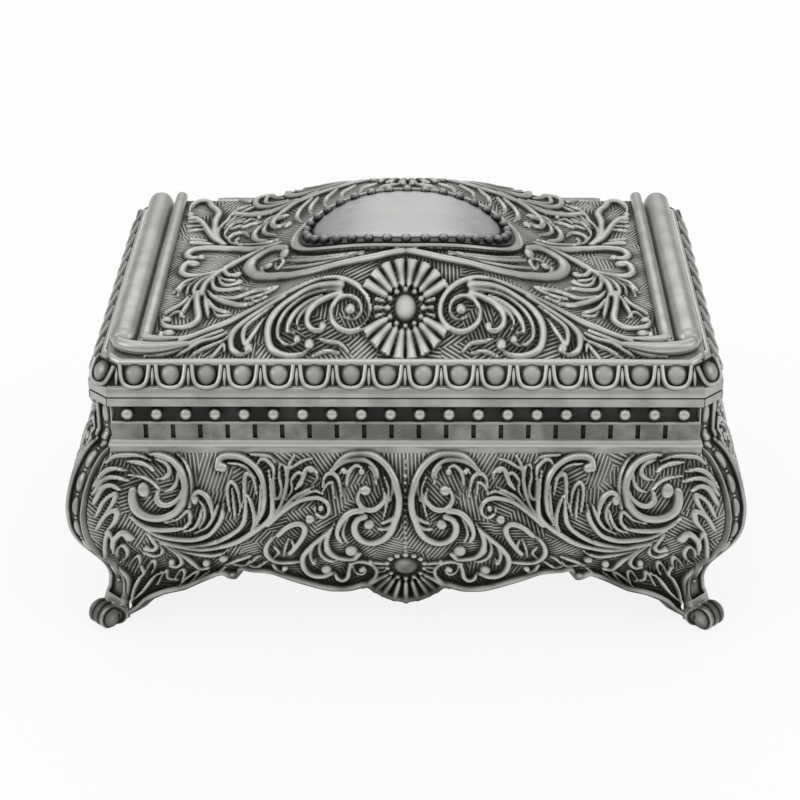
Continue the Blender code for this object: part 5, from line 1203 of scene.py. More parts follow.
class CornerPost:
    """A corner post with beads between two ribs, and the three lobes of its foot."""

    FACE = (
        (0.0, 57.75), (0.0, 56.0), (-0.3, 55.8), (-1.27, 55.6), (-1.27, 48.0), (-0.9, 47.6),
        (-0.4, 46.8), (-0.7, 45.9),
    )
    ANKLE = ((-1.3, 9.0), (-1.0, 7.2), (-0.2, 6.0), (0.4, 4.6), (0.4, 2.4), (0.2, 0.4))

    def __init__(self, name: str, corner: tuple[int, int], sizes: PostSizes) -> None:
        """Take the post's place and sizes.

        Args:
            name: which corner it is, such as front_left.
            corner: the signs of its x and y.
            sizes: its sizes.
        """
        self.name = name
        self.corner = corner
        self.sizes = sizes
        self.shape = Shape(f"{name}_post")

    def build(self, material: bpy.types.Material) -> bpy.types.Object:
        """Make the post and put it in its corner.

        Args:
            material: its finish.

        Returns:
            The piece.
        """
        self.pilaster()
        self.foot()
        x = self.corner[0] * (BOX.half_width - BOX.corner_cut / 2)
        y = self.corner[1] * (BOX.half_depth - BOX.corner_cut / 2)
        turn = Matrix.Rotation(math.atan2(self.corner[1], self.corner[0]), 4, "Z")
        self.shape.turn(Matrix.Translation((x, y, 0)) @ turn)
        for points in self.shape.points:
            points[:, 2] = np.maximum(points[:, 2], 0)
        piece = self.shape.piece(material)
        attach(piece, "box")
        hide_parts(f"corner_post_{self.name}")
        return piece

    def pilaster(self) -> None:
        """Add the post's long curved bar."""
        sizes = self.sizes
        heights = np.arange(BOX.belly_top - 0.1, BOX.ankle, -0.4)
        belly = list(zip(BOX.belly_out(heights) * math.sqrt(2), heights))
        profile = np.array(list(self.FACE) + belly + list(self.ANKLE))
        travel = np.concatenate(((0.0,), np.cumsum(np.hypot(*np.diff(profile, axis=0).T))))
        place = np.linspace(0, travel[-1], int(travel[-1] / sizes.grid))
        out = np.interp(place, travel, profile[:, 0])
        z = np.interp(place, travel, profile[:, 1])
        lean_out, lean_z = -np.gradient(z, place), np.gradient(out, place)
        across = np.linspace(-sizes.half_width, sizes.half_width, 27)
        v = np.broadcast_to(across, (len(place), len(across)))
        along = np.broadcast_to(place[:, None], v.shape)
        knobs = []
        spot = 6.2
        while spot < travel[-1] - 9:
            knobs.append(Knob(0.0, spot, 1.15, sizes.bead_pitch * 0.42))
            knobs.append(Knob(0.0, spot + sizes.bead_pitch / 2, 0.5, 0.35, 0.7))
            spot += sizes.bead_pitch
        rise = Carving((), tuple(knobs)).rise(v, along)
        rib = np.clip((np.abs(v) - (sizes.half_width - sizes.rib)) / 0.25, 0, 1)
        plain = (z[:, None] > 55.5) | (along > travel[-1] - 6)
        rise = np.where(plain, 1.0, np.maximum(rise, rib))
        sink = sizes.depth * (1 - rise)
        level = np.full(v.shape, sizes.wall)
        front, back = (
            np.stack(
                (out[:, None] - lean_out[:, None] * deep, v, z[:, None] - lean_z[:, None] * deep),
                axis=-1,
            )
            for deep in (sink, level)
        )
        points, faces = closed_sheet(front, back, 8)
        patina_and_painted_light = rise - blurred(rise, 3)
        # Partly painted light on the plain top of the post; the carving below is drawn a little
        # darker.
        tone = np.where(plain, TONES.post_rim, patina_and_painted_light + TONES.post_carving)
        rest = len(points) - rise.size
        self.shape.add(
            points,
            faces,
            np.concatenate((rise.ravel(), np.full(rest, 0.8))),
            np.concatenate((tone.ravel(), np.zeros(rest))),
        )

    def foot(self) -> None:
        """Add the two round lobes and the fluted barrel between them."""
        sizes = self.sizes
        r, length = sizes.lobe_radius, sizes.lobe_length
        face = [(0, 0), (r * 0.9, 0), (r, 0.4), (r, length - 0.9), (r * 0.96, length - 0.4)]
        face += [(r * 0.86, length - 0.1), (r * 0.74, length - 0.05), (r * 0.66, length - 0.35)]
        face += [(r * 0.56, length - 0.5), (r * 0.48, length - 0.3), (r * 0.36, length + 0.05)]
        face += [(r * 0.2, length + 0.2), (0, length + 0.25)]
        middle = BOX.corner_cut / 2
        for side in (-1, 1):
            away = Vector((1, side, 0)).normalized()
            along = Vector((1, -side, 0)).normalized()
            spot = away * (middle + sizes.lobe_proud) + along * (middle - sizes.lobe_inset)
            spot.z = r - sizes.flat
            self.lathe(face, pointing(spot - away * length, away), length)
        r, half = sizes.toe_radius, sizes.half_width
        barrel = [(0, -half), (r * 0.8, -half)]
        for k in range(25):
            v = -half + 2 * half * k / 24
            groove = 0.30 * abs(math.cos(1.5 * math.pi * v / half)) ** 0.7
            round_end = 0.5 * max(0.0, abs(v) / half - 0.8) / 0.2
            barrel.append((r - 0.30 + groove - round_end, v))
        barrel += [(r * 0.8, half), (0, half)]
        centre = (sizes.toe_out, 0, r - sizes.flat)
        self.lathe(barrel, pointing(centre, (0, 1, 0)), half)

    def lathe(self, outline: Sequence[Sequence[float]], frame_at: Matrix, length: float) -> None:
        """Add a turned solid, darker in its grooves.

        Args:
            outline: its radius and height.
            frame_at: where its axis runs.
            length: its length; not used.
        """
        points, faces = turned_solid(outline, frame_at, 40)
        depth = np.array([radius for radius, _ in outline[1:-1]])
        smooth = np.convolve(np.pad(depth, 2, mode="edge"), np.ones(5) / 5, mode="valid")
        lift = np.repeat(np.clip((depth - smooth) * 2.2, -0.5, 0.5), 40)
        lift = np.concatenate((lift, (0.2, 0.2)))
        self.shape.add(points, faces, 0.75 + lift, lift + TONES.foot)


@dataclass(frozen=True)
class LidSizes:
    """Sizes of the lid, in millimetres above its lower edge where they are heights."""

    band: float = 2.4
    border_inset: float = 2.7
    border_rise: float = 4.3
    field_inset: float = 4.2
    field_edge: float = 7.4
    top: float = 22.5
    hump_foot: float = 10.1
    hump_half: float = 44.0
    seat: float = 8.2
    hip_slope: float = 0.68
    rear_lift: float = 3.2
    hip_blend: float = 1.6
    rail_x: float = 61.75
    rail_radius: float = 3.05
    rail_ridge: float = 11.4
    slim_x: float = 56.7
    slim_radius: float = 1.4
    slim_ridge: float = 11.0
    rail_front: float = -38.6
    rail_rear: float = 44.2
    curl_height: float = 1.0
    egg_pitch: float = 7.79
    egg_end_room: float = 10.6
    egg_half_width: float = 2.15
    egg_half_length: float = 2.4
    egg_proud: float = 1.1
    field_wall: float = 2.0
    grid: float = 0.34
    plaque_half_x: float = 25.2
    plaque_half_y: float = 15.6
    plaque_thickness: float = 0.7
    plaque_beads: int = 34
    plaque_bead_radius: float = 1.2
    seat_half_x: float = 26.4
    seat_half_y: float = 16.8
    carving_middle: float = -0.5
    rosette_y: float = 32.3
    rosette_half_x: float = 10.4
    rosette_half_y: float = 10.9
    spiral_away: float = 11.9
    spiral_room: float = 5.0
    rear_from: float = 20.0
    slope_low: float = 2.5
    slope_high: float = 6.6
    slope_relief: float = 0.08
    egg_lift: float = 0.3
    egg_flare: float = 0.06
    cup_radius: float = 0.52
    cup_height: float = 0.12
    corner_room: float = 9.6
    plaque_bead_lift: float = 0.72
    rim_radius: float = 0.5
    rim_gap: float = 0.8
    hinge_pad_depth: float = 2.2
    hinge_pad_foot: float = 0.3
    hinge_pad_top: float = 7.4


LID = LidSizes()


def field_height(x: Points, y: Points) -> Points:
    """Height of the lid's humped field above the lid's lower edge.

    Args:
        x: places across the lid.
        y: places along it.

    Returns:
        The heights.
    """
    vault = LID.hump_foot + (LID.top - LID.hump_foot) * ogee(np.abs(x) / LID.hump_half)
    vault = np.where(np.abs(x) > LID.slim_x, LID.seat, vault)
    hip = LID.field_edge + LID.hip_slope * (BOX.half_depth - LID.field_inset - np.abs(y))
    hip = hip + np.where(y > 0, LID.rear_lift, 0.0)
    gap = vault - hip
    return (vault + hip - np.sqrt(gap * gap + LID.hip_blend**2)) / 2


class Lid:
    """The lid's casting: band, egg border, frame moulding, carved hump and rails."""

    SECTION = (
        (0.12, 0.0), (0.0, 0.12), (0.0, 2.2), (0.15, 2.4), (0.45, 2.45), (0.6, 2.75), (1.35, 4.2),
        (2.1, 5.5), (2.5, 6.35), (2.65, 6.9), (2.85, 7.35), (3.15, 7.62), (3.45, 7.7),
        (3.75, 7.62), (4.05, 7.35), (4.3, 6.8), (4.9, 6.2), (4.9, 0.1), (4.8, 0.0),
    )
    CUP = ((-3.15, 2.5), (-3.0, 0.9), (-2.75, -0.7), (-2.15, -1.8), (-1.15, -2.35), (0.0, -2.5))
    DART = (0.45, 2.1, 0.5)
    CURLS = (
        (
            (
                (-47.0, -40.0, 0.35), (-50.5, -41.0, 0.7), (-54.0, -41.6, 0.9),
                (-57.4, -41.7, 1.0), (-60.2, -41.0, 1.0), (-62.1, -39.6, 1.0),
                (-62.5, -37.8, 0.85), (-61.4, -36.8, 0.6),
            ),
            1.5,
        ),
        (
            (
                (-49.5, -38.4, 0.4), (-52.5, -39.3, 0.8), (-55.0, -39.5, 1.0),
                (-57.0, -38.9, 1.0), (-57.6, -37.6, 0.7),
            ),
            0.95,
        ),
    )

    def __init__(self) -> None:
        """Start with an empty shape."""
        self.shape = Shape("lid_top")

    def build(self, material: bpy.types.Material) -> bpy.types.Object:
        """Make the casting.

        Args:
            material: its finish.

        Returns:
            The piece.
        """
        self.field()
        self.border()
        self.eggs()
        self.rails()
        self.plaque_rim()
        for side in (-1, 1):
            x = side * BOX.hinge_spread
            foot, top = BOX.lid_base + LID.hinge_pad_foot, BOX.lid_base + LID.hinge_pad_top
            low = (x - BOX.hinge_pad_half, BOX.half_depth - LID.hinge_pad_depth, foot)
            high = (x + BOX.hinge_pad_half, BOX.half_depth + BOX.hinge_proud, top)
            self.shape.add(*block(low, high))
        piece = self.shape.piece(material)
        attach(piece, "lid")
        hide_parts("lid_casting")
        return piece

    @staticmethod
    def carving() -> Carving:
        """The lid's carving from its front edge to its rear shoulders.

        Returns:
            The strokes and knobs.
        """
        strokes = LID_BAND_STROKES + LID_SIDE_STROKES + LID_SHOULDER_STROKES
        knobs = LID_BAND_KNOBS + LID_SIDE_KNOBS + LID_SHOULDER_KNOBS
        return Carving(strokes, knobs, middle=LID.carving_middle)

    @staticmethod
    def rosette() -> Carving:
        """The rosette in the middle of a hip.

        Returns:
            The strokes and knobs.
        """
        middle = (0.0, -LID.rosette_y)
        petals = fan(middle, (8, 25, 42, 59, 121, 138, 155, 172), 4.6, 10.7, 2.3)
        petals += fan(middle, (74, 90, 106), 4.8, 6.6, 1.0)
        knobs = [Knob(*middle, 2.5, 3.1)] + bead_ring(middle, 3.9, 12, 0.74)
        return Carving(tuple(petals), tuple(knobs))

    def field(self) -> None:
        """Add the carved field."""
        reach_x = BOX.half_width - LID.field_inset
        reach_y = BOX.half_depth - LID.field_inset
        inner = LID.slim_x - 0.6
        dense = np.linspace(-inner, inner, int(2 * inner / LID.grid) | 1)
        outer = np.array((LID.slim_x - 0.1, LID.slim_x + 0.1, 58.6, 61.7, reach_x))
        columns = np.concatenate((-outer[::-1], dense, outer))
        rows = np.linspace(-reach_y, reach_y, int(2 * reach_y / LID.grid) | 1)
        x, y = np.meshgrid(columns, rows)
        reach = BOX.half_width + BOX.half_depth - LID.corner_room
        over = np.maximum(np.abs(x) + np.abs(y) - reach, 0) / 2
        x, y = x - np.sign(x) * over, y - np.sign(y) * over
        z = field_height(x, y)
        behind = y > LID.rear_from
        rise = self.carving().rise(x, y)
        hip = self.hip_carving().rise(x, np.where(behind, -y, y))
        rise = np.where(behind, np.maximum(hip, rise), rise)
        rosette = self.rosette().rise(x, -np.abs(y))
        down = np.abs(y) - LID.rosette_y
        clear = (x / LID.rosette_half_x) ** 2 + (down / LID.rosette_half_y) ** 2 < 1
        spiral = np.hypot(np.abs(x - LID.carving_middle) - LID.spiral_away, down)
        clear &= spiral > LID.spiral_room
        rise = np.where(clear, rosette, rise)
        seat = (x / LID.seat_half_x) ** 2 + (y / LID.seat_half_y) ** 2 < 1
        rise = np.where(seat, 1.0, rise)
        rise = np.where(np.abs(x) > inner, 1.0, rise)
        step = 0.05
        slope_x = (field_height(x + step, y) - field_height(x - step, y)) / (2 * step)
        slope_y = (field_height(x, y + step) - field_height(x, y - step)) / (2 * step)
        slope_x = np.where(np.abs(x) > inner, 0, slope_x)
        lean = 1 / np.sqrt(1 + slope_x**2 + slope_y**2)
        sink = BOX.carving_depth * (1 - rise)
        front = np.stack(
            (
                x + slope_x * lean * sink,
                y + slope_y * lean * sink,
                BOX.lid_base + z - lean * sink,
            ),
            axis=-1,
        )
        under = BOX.lid_base + field_height(x, -np.abs(y)) - LID.field_wall
        back = np.stack((x, y, under), axis=-1)
        points, faces = closed_sheet(front, back, 12)
        patina_and_painted_light = rise - blurred(rise, 4)
        rest = len(points) - rise.size
        self.shape.add(
            points,
            faces,
            np.concatenate((rise.ravel(), np.full(rest, 0.5))),
            np.concatenate((patina_and_painted_light.ravel(), np.zeros(rest))),
            np.vstack((np.stack((x, y, 0 * x), axis=-1).reshape(-1, 3), np.zeros((rest, 3)))),
        )

    @staticmethod
    def hip_carving() -> Carving:
        """The part of the carving that the rear hip repeats.

        Returns:
            The strokes and knobs.
        """
        strokes = [stroke for stroke in LID_BAND_STROKES if min(stroke.path[0::2]) > -45]
        knobs = [knob for knob in LID_BAND_KNOBS if knob.x > -40]
        return Carving(tuple(strokes), tuple(knobs), middle=-0.5)

    def border(self) -> None:
        """Add the flat band, the sloping border and the frame moulding as one closed bar."""
        rings = []
        for corner in range(8):
            ring = []
            for inset, rise in self.SECTION:
                x, y = lid_corner(corner, inset)
                ring.append((x, y, BOX.lid_base + rise))
            rings.append(ring)
        points, faces = closed_tube(np.array(rings), True)
        rise = points[:, 2] - BOX.lid_base
        slope = (rise > LID.slope_low) & (rise < LID.slope_high)
        relief = np.where(slope, LID.slope_relief, 1.0)
        plain = np.where(rise > LID.slope_high, TONES.moulding, TONES.lid_band)
        patina_and_painted_light = np.where(slope, TONES.border, plain)
        self.shape.add(points, faces, relief, patina_and_painted_light)

    def eggs(self) -> None:
        """Add the eggs with their cups, and the darts between them."""
        sides = (
            (BOX.half_width, BOX.half_depth, 0), (BOX.half_depth, BOX.half_width, 1),
            (BOX.half_width, BOX.half_depth, 2), (BOX.half_depth, BOX.half_width, 3),
        )
        for half, out, quarter in sides:
            turn = Matrix.Rotation(quarter * math.pi / 2, 4, "Z")
            places = spread(half, LID.egg_end_room, LID.egg_pitch)
            gap = places[1] - places[0]
            for x in places:
                if quarter == 2 and BOX.on_hinge_pad(x, LID.egg_half_width):
                    continue
                self.egg(self.slope_frame(x, out, turn))
            for x in [places[0] - gap / 2] + [place + gap / 2 for place in places]:
                if quarter == 2 and BOX.on_hinge_pad(x, 0.8):
                    continue
                self.dart(self.slope_frame(x, out, turn))
        share = math.sqrt(0.5)
        reach = (BOX.half_width + BOX.half_depth - BOX.corner_cut) * share
        offset = (BOX.half_width - BOX.half_depth) * share
        for eighth, side in ((1, 1), (3, -1), (5, 1), (7, -1)):
            turn = Matrix.Rotation(eighth * math.pi / 4, 4, "Z")
            self.egg(self.slope_frame(offset * side, reach, turn, 1.0))

    @staticmethod
    def slope_frame(x: float, out: float, turn: Matrix, inset_share: float = 1.0) -> Matrix:
        """A frame on the sloping border: X along the side, Y up the slope, Z out of it.

        Args:
            x: the place along the side.
            out: how far the side lies from the lid's middle.
            turn: how the front side is turned to this one.
            inset_share: how far up the slope the frame lies, 1 for its middle.

        Returns:
            The frame.
        """
        up = Vector((0, LID.border_inset, LID.border_rise)).normalized()
        face = Vector((1, 0, 0)).cross(up)
        base = Matrix((Vector((1, 0, 0)), up, face)).transposed().to_4x4()
        middle = LID.border_inset / 2 * inset_share
        height = BOX.lid_base + LID.band + LID.border_rise / 2
        place = Matrix.Translation((x, -out + middle, height))
        return turn @ place @ base

    def egg(self, frame_at: Matrix) -> None:
        """Add one egg and the cup round it.

        Args:
            frame_at: its place on the slope.
        """
        rows = np.array(frame_at)
        sizes = np.diag((LID.egg_half_width, LID.egg_half_length, LID.egg_proud))
        points, faces = ball_solid((0, LID.egg_lift, 0), sizes, 18)
        proud = np.clip(points[:, 2] / LID.egg_proud, 0, 1)
        points[:, 0] *= 1 + LID.egg_flare * points[:, 1]
        points = points @ rows[:3, :3].T + rows[:3, 3]
        self.shape.add(points, faces, 0.25 + 0.75 * proud, 0.5 * proud - 0.28)
        half = np.array(self.CUP)
        path = spline(np.vstack((half, half[-2::-1] * (-1, 1))), 3)
        self.wire(path, rows)

    def wire(self, path: Points, rows: Points) -> None:
        """Add an egg's cup as a round wire on the slope.

        Args:
            path: places across and up the slope.
            rows: the frame of the slope.
        """
        radius, height = LID.cup_radius, LID.cup_height
        way = np.gradient(path, axis=0)
        way /= np.maximum(np.hypot(way[:, 0], way[:, 1]), 1e-6)[:, None]
        turn = 2 * np.pi * np.arange(8) / 8
        side = np.stack((-way[:, 1], way[:, 0]), axis=-1)
        rings = np.zeros((len(path), 8, 3))
        across = (np.cos(turn) * radius)[None, :, None]
        rings[:, :, :2] = path[:, None, :] + side[:, None, :] * across
        rings[:, :, 2] = height + np.sin(turn)[None, :] * radius
        points, faces = closed_tube(rings, False)
        proud = np.clip(points[:, 2] / (radius + height), 0, 1)
        points = points @ rows[:3, :3].T + rows[:3, 3]
        self.shape.add(points, faces, 0.2 + 0.7 * proud, 0.4 * proud - 0.08)

    def dart(self, frame_at: Matrix) -> None:
        """Add one dart.

        Args:
            frame_at: its place on the slope.
        """
        rows = np.array(frame_at)
        points, faces = ball_solid((0, -0.1, 0), np.diag(self.DART), 10)
        proud = np.clip(points[:, 2] / self.DART[2], 0, 1)
        self.shape.add(points @ rows[:3, :3].T + rows[:3, 3], faces, 0.2 + 0.6 * proud, 0.3 * proud)

    def rails(self) -> None:
        """Add the wide and the slim rail along each short side."""
        kinds = (
            (LID.rail_x, LID.rail_radius, LID.rail_ridge),
            (LID.slim_x, LID.slim_radius, LID.slim_ridge),
        )
        for side in (-1, 1):
            for x, radius, ridge in kinds:
                quarter = [math.pi / 2 * k / 8 for k in range(9)]
                dome = [(radius * math.sin(t), radius * (1 - math.cos(t))) for t in quarter]
                length = LID.rail_rear - LID.rail_front
                outline = dome + [(r, length - h) for r, h in reversed(dome)]
                place = (side * x, LID.rail_front, BOX.lid_base + ridge - radius)
                points, faces = turned_solid(outline, pointing(place, (0, 1, 0)), 48)
                # Partly painted light: the rails' tone is raised to stand in for light from above.
                self.shape.add(points, faces, 1.0, TONES.rail)
            for curl, radius in self.CURLS:
                self.curl(np.array(curl) * (side, 1, 1), radius)

    def curl(self, path: Points, radius: float) -> None:
        """Add the end of a scroll, which curls round the foot of a rail.

        Args:
            path: its places and the share of its radius at each of them.
            radius: its largest radius.
        """
        fine = spline(path, 6)
        way = np.gradient(fine[:, :2], axis=0)
        way /= np.maximum(np.hypot(way[:, 0], way[:, 1]), 1e-6)[:, None]
        turn = 2 * np.pi * np.arange(12) / 12
        size = radius * fine[:, 2:3]
        rings = np.zeros((len(fine), 12, 3))
        rings[:, :, 0] = fine[:, 0:1] - way[:, 1:2] * size * np.cos(turn)
        rings[:, :, 1] = fine[:, 1:2] + way[:, 0:1] * size * np.cos(turn)
        level = np.maximum(field_height(fine[:, 0], fine[:, 1]), LID.seat)
        middle = BOX.lid_base + level[:, None] + LID.curl_height * fine[:, 2:3]
        rings[:, :, 2] = middle + size * np.sin(turn)
        if path[0, 0] > 0:
            rings = rings[:, ::-1]
        points, faces = closed_tube(rings, False)
        self.shape.add(points, faces, 1.0, TONES.curl)

    def plaque_rim(self) -> None:
        """Add the raised wire round the plaque."""
        turn = 2 * np.pi * np.arange(120) / 120
        grow = 1 + LID.rim_gap / LID.plaque_half_y
        x, y = LID.plaque_half_x * grow * np.cos(turn), LID.plaque_half_y * grow * np.sin(turn)
        z = BOX.lid_base + field_height(x, y)
        lean = 2 * np.pi * np.arange(8) / 8
        rings = np.zeros((120, 8, 3))
        rings[:, :, 0] = x[:, None] + np.cos(turn)[:, None] * LID.rim_radius * np.cos(lean)
        rings[:, :, 1] = y[:, None] + np.sin(turn)[:, None] * LID.rim_radius * np.cos(lean)
        rings[:, :, 2] = z[:, None] + LID.rim_radius * np.sin(lean)
        self.shape.add(*closed_tube(rings, True), 0.9, 0.3)


def lid_corner(corner: int, inset: float) -> tuple[float, float]:
    """A corner of the lid's outline moved in by an inset.

    Args:
        corner: its number, from the front right one round against the clock.
        inset: how far the outline is moved in.

    Returns:
        Its x and y.
    """
    x, y, cut = BOX.half_width - inset, BOX.half_depth - inset, BOX.corner_cut
    corners = (
        (x - cut, -y), (x, cut - y), (x, y - cut), (x - cut, y),
        (cut - x, y), (-x, y - cut), (-x, cut - y), (cut - x, -y),
    )
    return corners[corner]


class Plaque:
    """The oval plate on top of the hump, with its ring of beads."""

    def build(self, brushed: bpy.types.Material) -> bpy.types.Object:
        """Make the plaque.

        Args:
            brushed: its finish.

        Returns:
            The piece.
        """
        shape = Shape("plaque")
        turn = 2 * np.pi * np.arange(96) / 96
        levels = [(share, 0.0) for share in (0.02, 0.2, 0.4, 0.6, 0.75, 0.81)]
        levels += [(0.835, -0.06), (0.85, -0.2), (0.86, -0.45), (0.88, -0.5), (0.99, -0.5)]
        levels += [(1.0, -0.55), (1.0, -0.66), (0.98, -0.7), (0.5, -0.7), (0.02, -0.7)]
        rings = []
        for share, drop in levels:
            x = LID.plaque_half_x * share * np.cos(turn)
            y = LID.plaque_half_y * share * np.sin(turn)
            z = BOX.lid_base + field_height(x, 0 * x) + 0.3 + LID.plaque_thickness + drop
            rings.append(np.stack((x, y, z), axis=-1))
        shade = [TONES.plate if drop > -0.3 else TONES.channel for _, drop in levels]
        shape.add(*closed_tube(np.array(rings), False), 1.0, np.repeat(shade, len(turn)))
        for k in range(LID.plaque_beads):
            angle = 2 * math.pi * (k + 0.5) / LID.plaque_beads
            share = 1 - LID.plaque_bead_radius / LID.plaque_half_y
            x = LID.plaque_half_x * share * math.cos(angle)
            y = LID.plaque_half_y * share * math.sin(angle)
            z = BOX.lid_base + float(field_height(np.array(x), np.array(0.0)))
            z += LID.plaque_bead_lift
            points, faces = ball_solid((x, y, z), np.eye(3) * LID.plaque_bead_radius, 16)
            proud = np.clip((points[:, 2] - z) / LID.plaque_bead_radius, 0, 1)
            shape.add(points, faces, 0.4 + 0.6 * proud, 0.9 * proud - 0.6)
        piece = shape.piece(brushed)
        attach(piece, "lid")
        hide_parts("name_plaque")
        return piece


class Thin(Enum):
    """The way in which a padded board faces: its thin axis and its sign."""

    FLOOR = (2, 1)
    LID = (2, -1)
    FRONT = (1, 1)
    REAR = (1, -1)
    LEFT = (0, 1)
    RIGHT = (0, -1)


@dataclass(frozen=True)
class Pad:
    """A padded velvet board that fills its CAD node's box."""

    node: str
    facing: Thin
    body: str
    fill: float = 0.6
    columns: int = 72
    rows: int = 48
    roll: float = 2.2
    roll_power: float = 2.4
    unevenness: float = 0.06

    def build(self, velvet: bpy.types.Material) -> bpy.types.Object:
        """Make the board.

        Args:
            velvet: its finish.

        Returns:
            The piece.
        """
        low, high = (np.array(corner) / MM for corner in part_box(self.node))
        axis, sign = self.facing.value
        flat = [k for k in range(3) if k != axis]
        centre, half = (low + high) / 2, (high - low) / 2
        u, v = np.meshgrid(np.linspace(-1, 1, self.columns), np.linspace(-1, 1, self.rows))
        edge = np.minimum((1 - np.abs(u)) * half[flat[0]], (1 - np.abs(v)) * half[flat[1]])
        swell = 1 - (1 - np.clip(edge / self.roll, 0, 1)) ** self.roll_power
        soft = self.unevenness * np.sin(u * 9.1 + 1.3 * np.sin(v * 5.0)) * np.cos(v * 7.3 + u * 3.1)
        top = -half[axis] + 2 * half[axis] * np.clip(0.25 + 0.69 * swell + soft * swell, 0.2, 1)
        front = np.zeros((self.rows, self.columns, 3))
        front[..., flat[0]] = centre[flat[0]] + u * half[flat[0]]
        front[..., flat[1]] = centre[flat[1]] + v * half[flat[1]]
        back = front.copy()
        front[..., axis] = centre[axis] + sign * top
        back[..., axis] = centre[axis] - sign * half[axis]
        shape = Shape(f"{self.node}_velvet")
        shape.add(*closed_sheet(front, back, 8))
        piece = shape.piece(velvet, 180)
        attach(piece, self.body)
        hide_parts(self.node)
        return piece


class Nodes:
    """A short way to build one material's shader."""

    def __init__(self, name: str) -> None:
        """Start a material with one Principled shader.

        Args:
            name: the material's name.
        """
        self.material = bpy.data.materials.new(name)
        self.material.use_nodes = True
        self.tree = self.material.node_tree
        self.shader = self.tree.nodes["Principled BSDF"]

    def add(self, kind: str, inputs: dict | None = None, **settings: object) -> bpy.types.Node:
        """Add a node.

        Args:
            kind: its type's name.
            inputs: values or sockets for its inputs, by name or number.
            settings: its own settings.

        Returns:
            The node.
        """
        node = self.tree.nodes.new(kind)
        for name, value in settings.items():
            setattr(node, name, value)
        for key, value in (inputs or {}).items():
            self.feed(node.inputs[key], value)
        return node

    def feed(self, socket: bpy.types.NodeSocket, value: object) -> None:
        """Give an input a value or link it to an output.

        Args:
            socket: the input.
            value: a number, a colour or an output.
        """
        if isinstance(value, bpy.types.NodeSocket):
            self.tree.links.new(value, socket)
        else:
            socket.default_value = value

    def math(
        self, operation: str, first: object, second: object = 0.0
    ) -> bpy.types.NodeSocket:
        """Add a sum.

        Args:
            operation: its kind.
            first: the first value.
            second: the second value.

        Returns:
            The result's output.
        """
        return self.add("ShaderNodeMath", {0: first, 1: second}, operation=operation).outputs[0]

    def ramp(
        self, factor: object, stops: Sequence[tuple[float, Sequence[float]]]
    ) -> bpy.types.NodeSocket:
        """Add a colour ramp.

        Args:
            factor: what runs along it.
            stops: places from 0 to 1 with their colours.

        Returns:
            The colour's output.
        """
        node = self.add("ShaderNodeValToRGB", {"Fac": factor})
        elements = node.color_ramp.elements
        while len(elements) < len(stops):
            elements.new(0.5)
        for element, (place, colour) in zip(elements, stops):
            element.position = place
            element.color = (*colour, 1.0) if len(colour) == 3 else colour
        return node.outputs["Color"]

    def span(
        self, value: object, low: float, high: float, to_low: float = 0.0, to_high: float = 1.0
    ) -> bpy.types.NodeSocket:
        """Spread a value from one span to another.

        Args:
            value: what is spread.
            low: the start of its span.
            high: the end of its span.
            to_low: what its start becomes.
            to_high: what its end becomes.

        Returns:
            The result's output.
        """
        node = self.add(
            "ShaderNodeMapRange", {0: value, 1: low, 2: high, 3: to_low, 4: to_high},
            interpolation_type="SMOOTHSTEP",
        )
        return node.outputs[0]


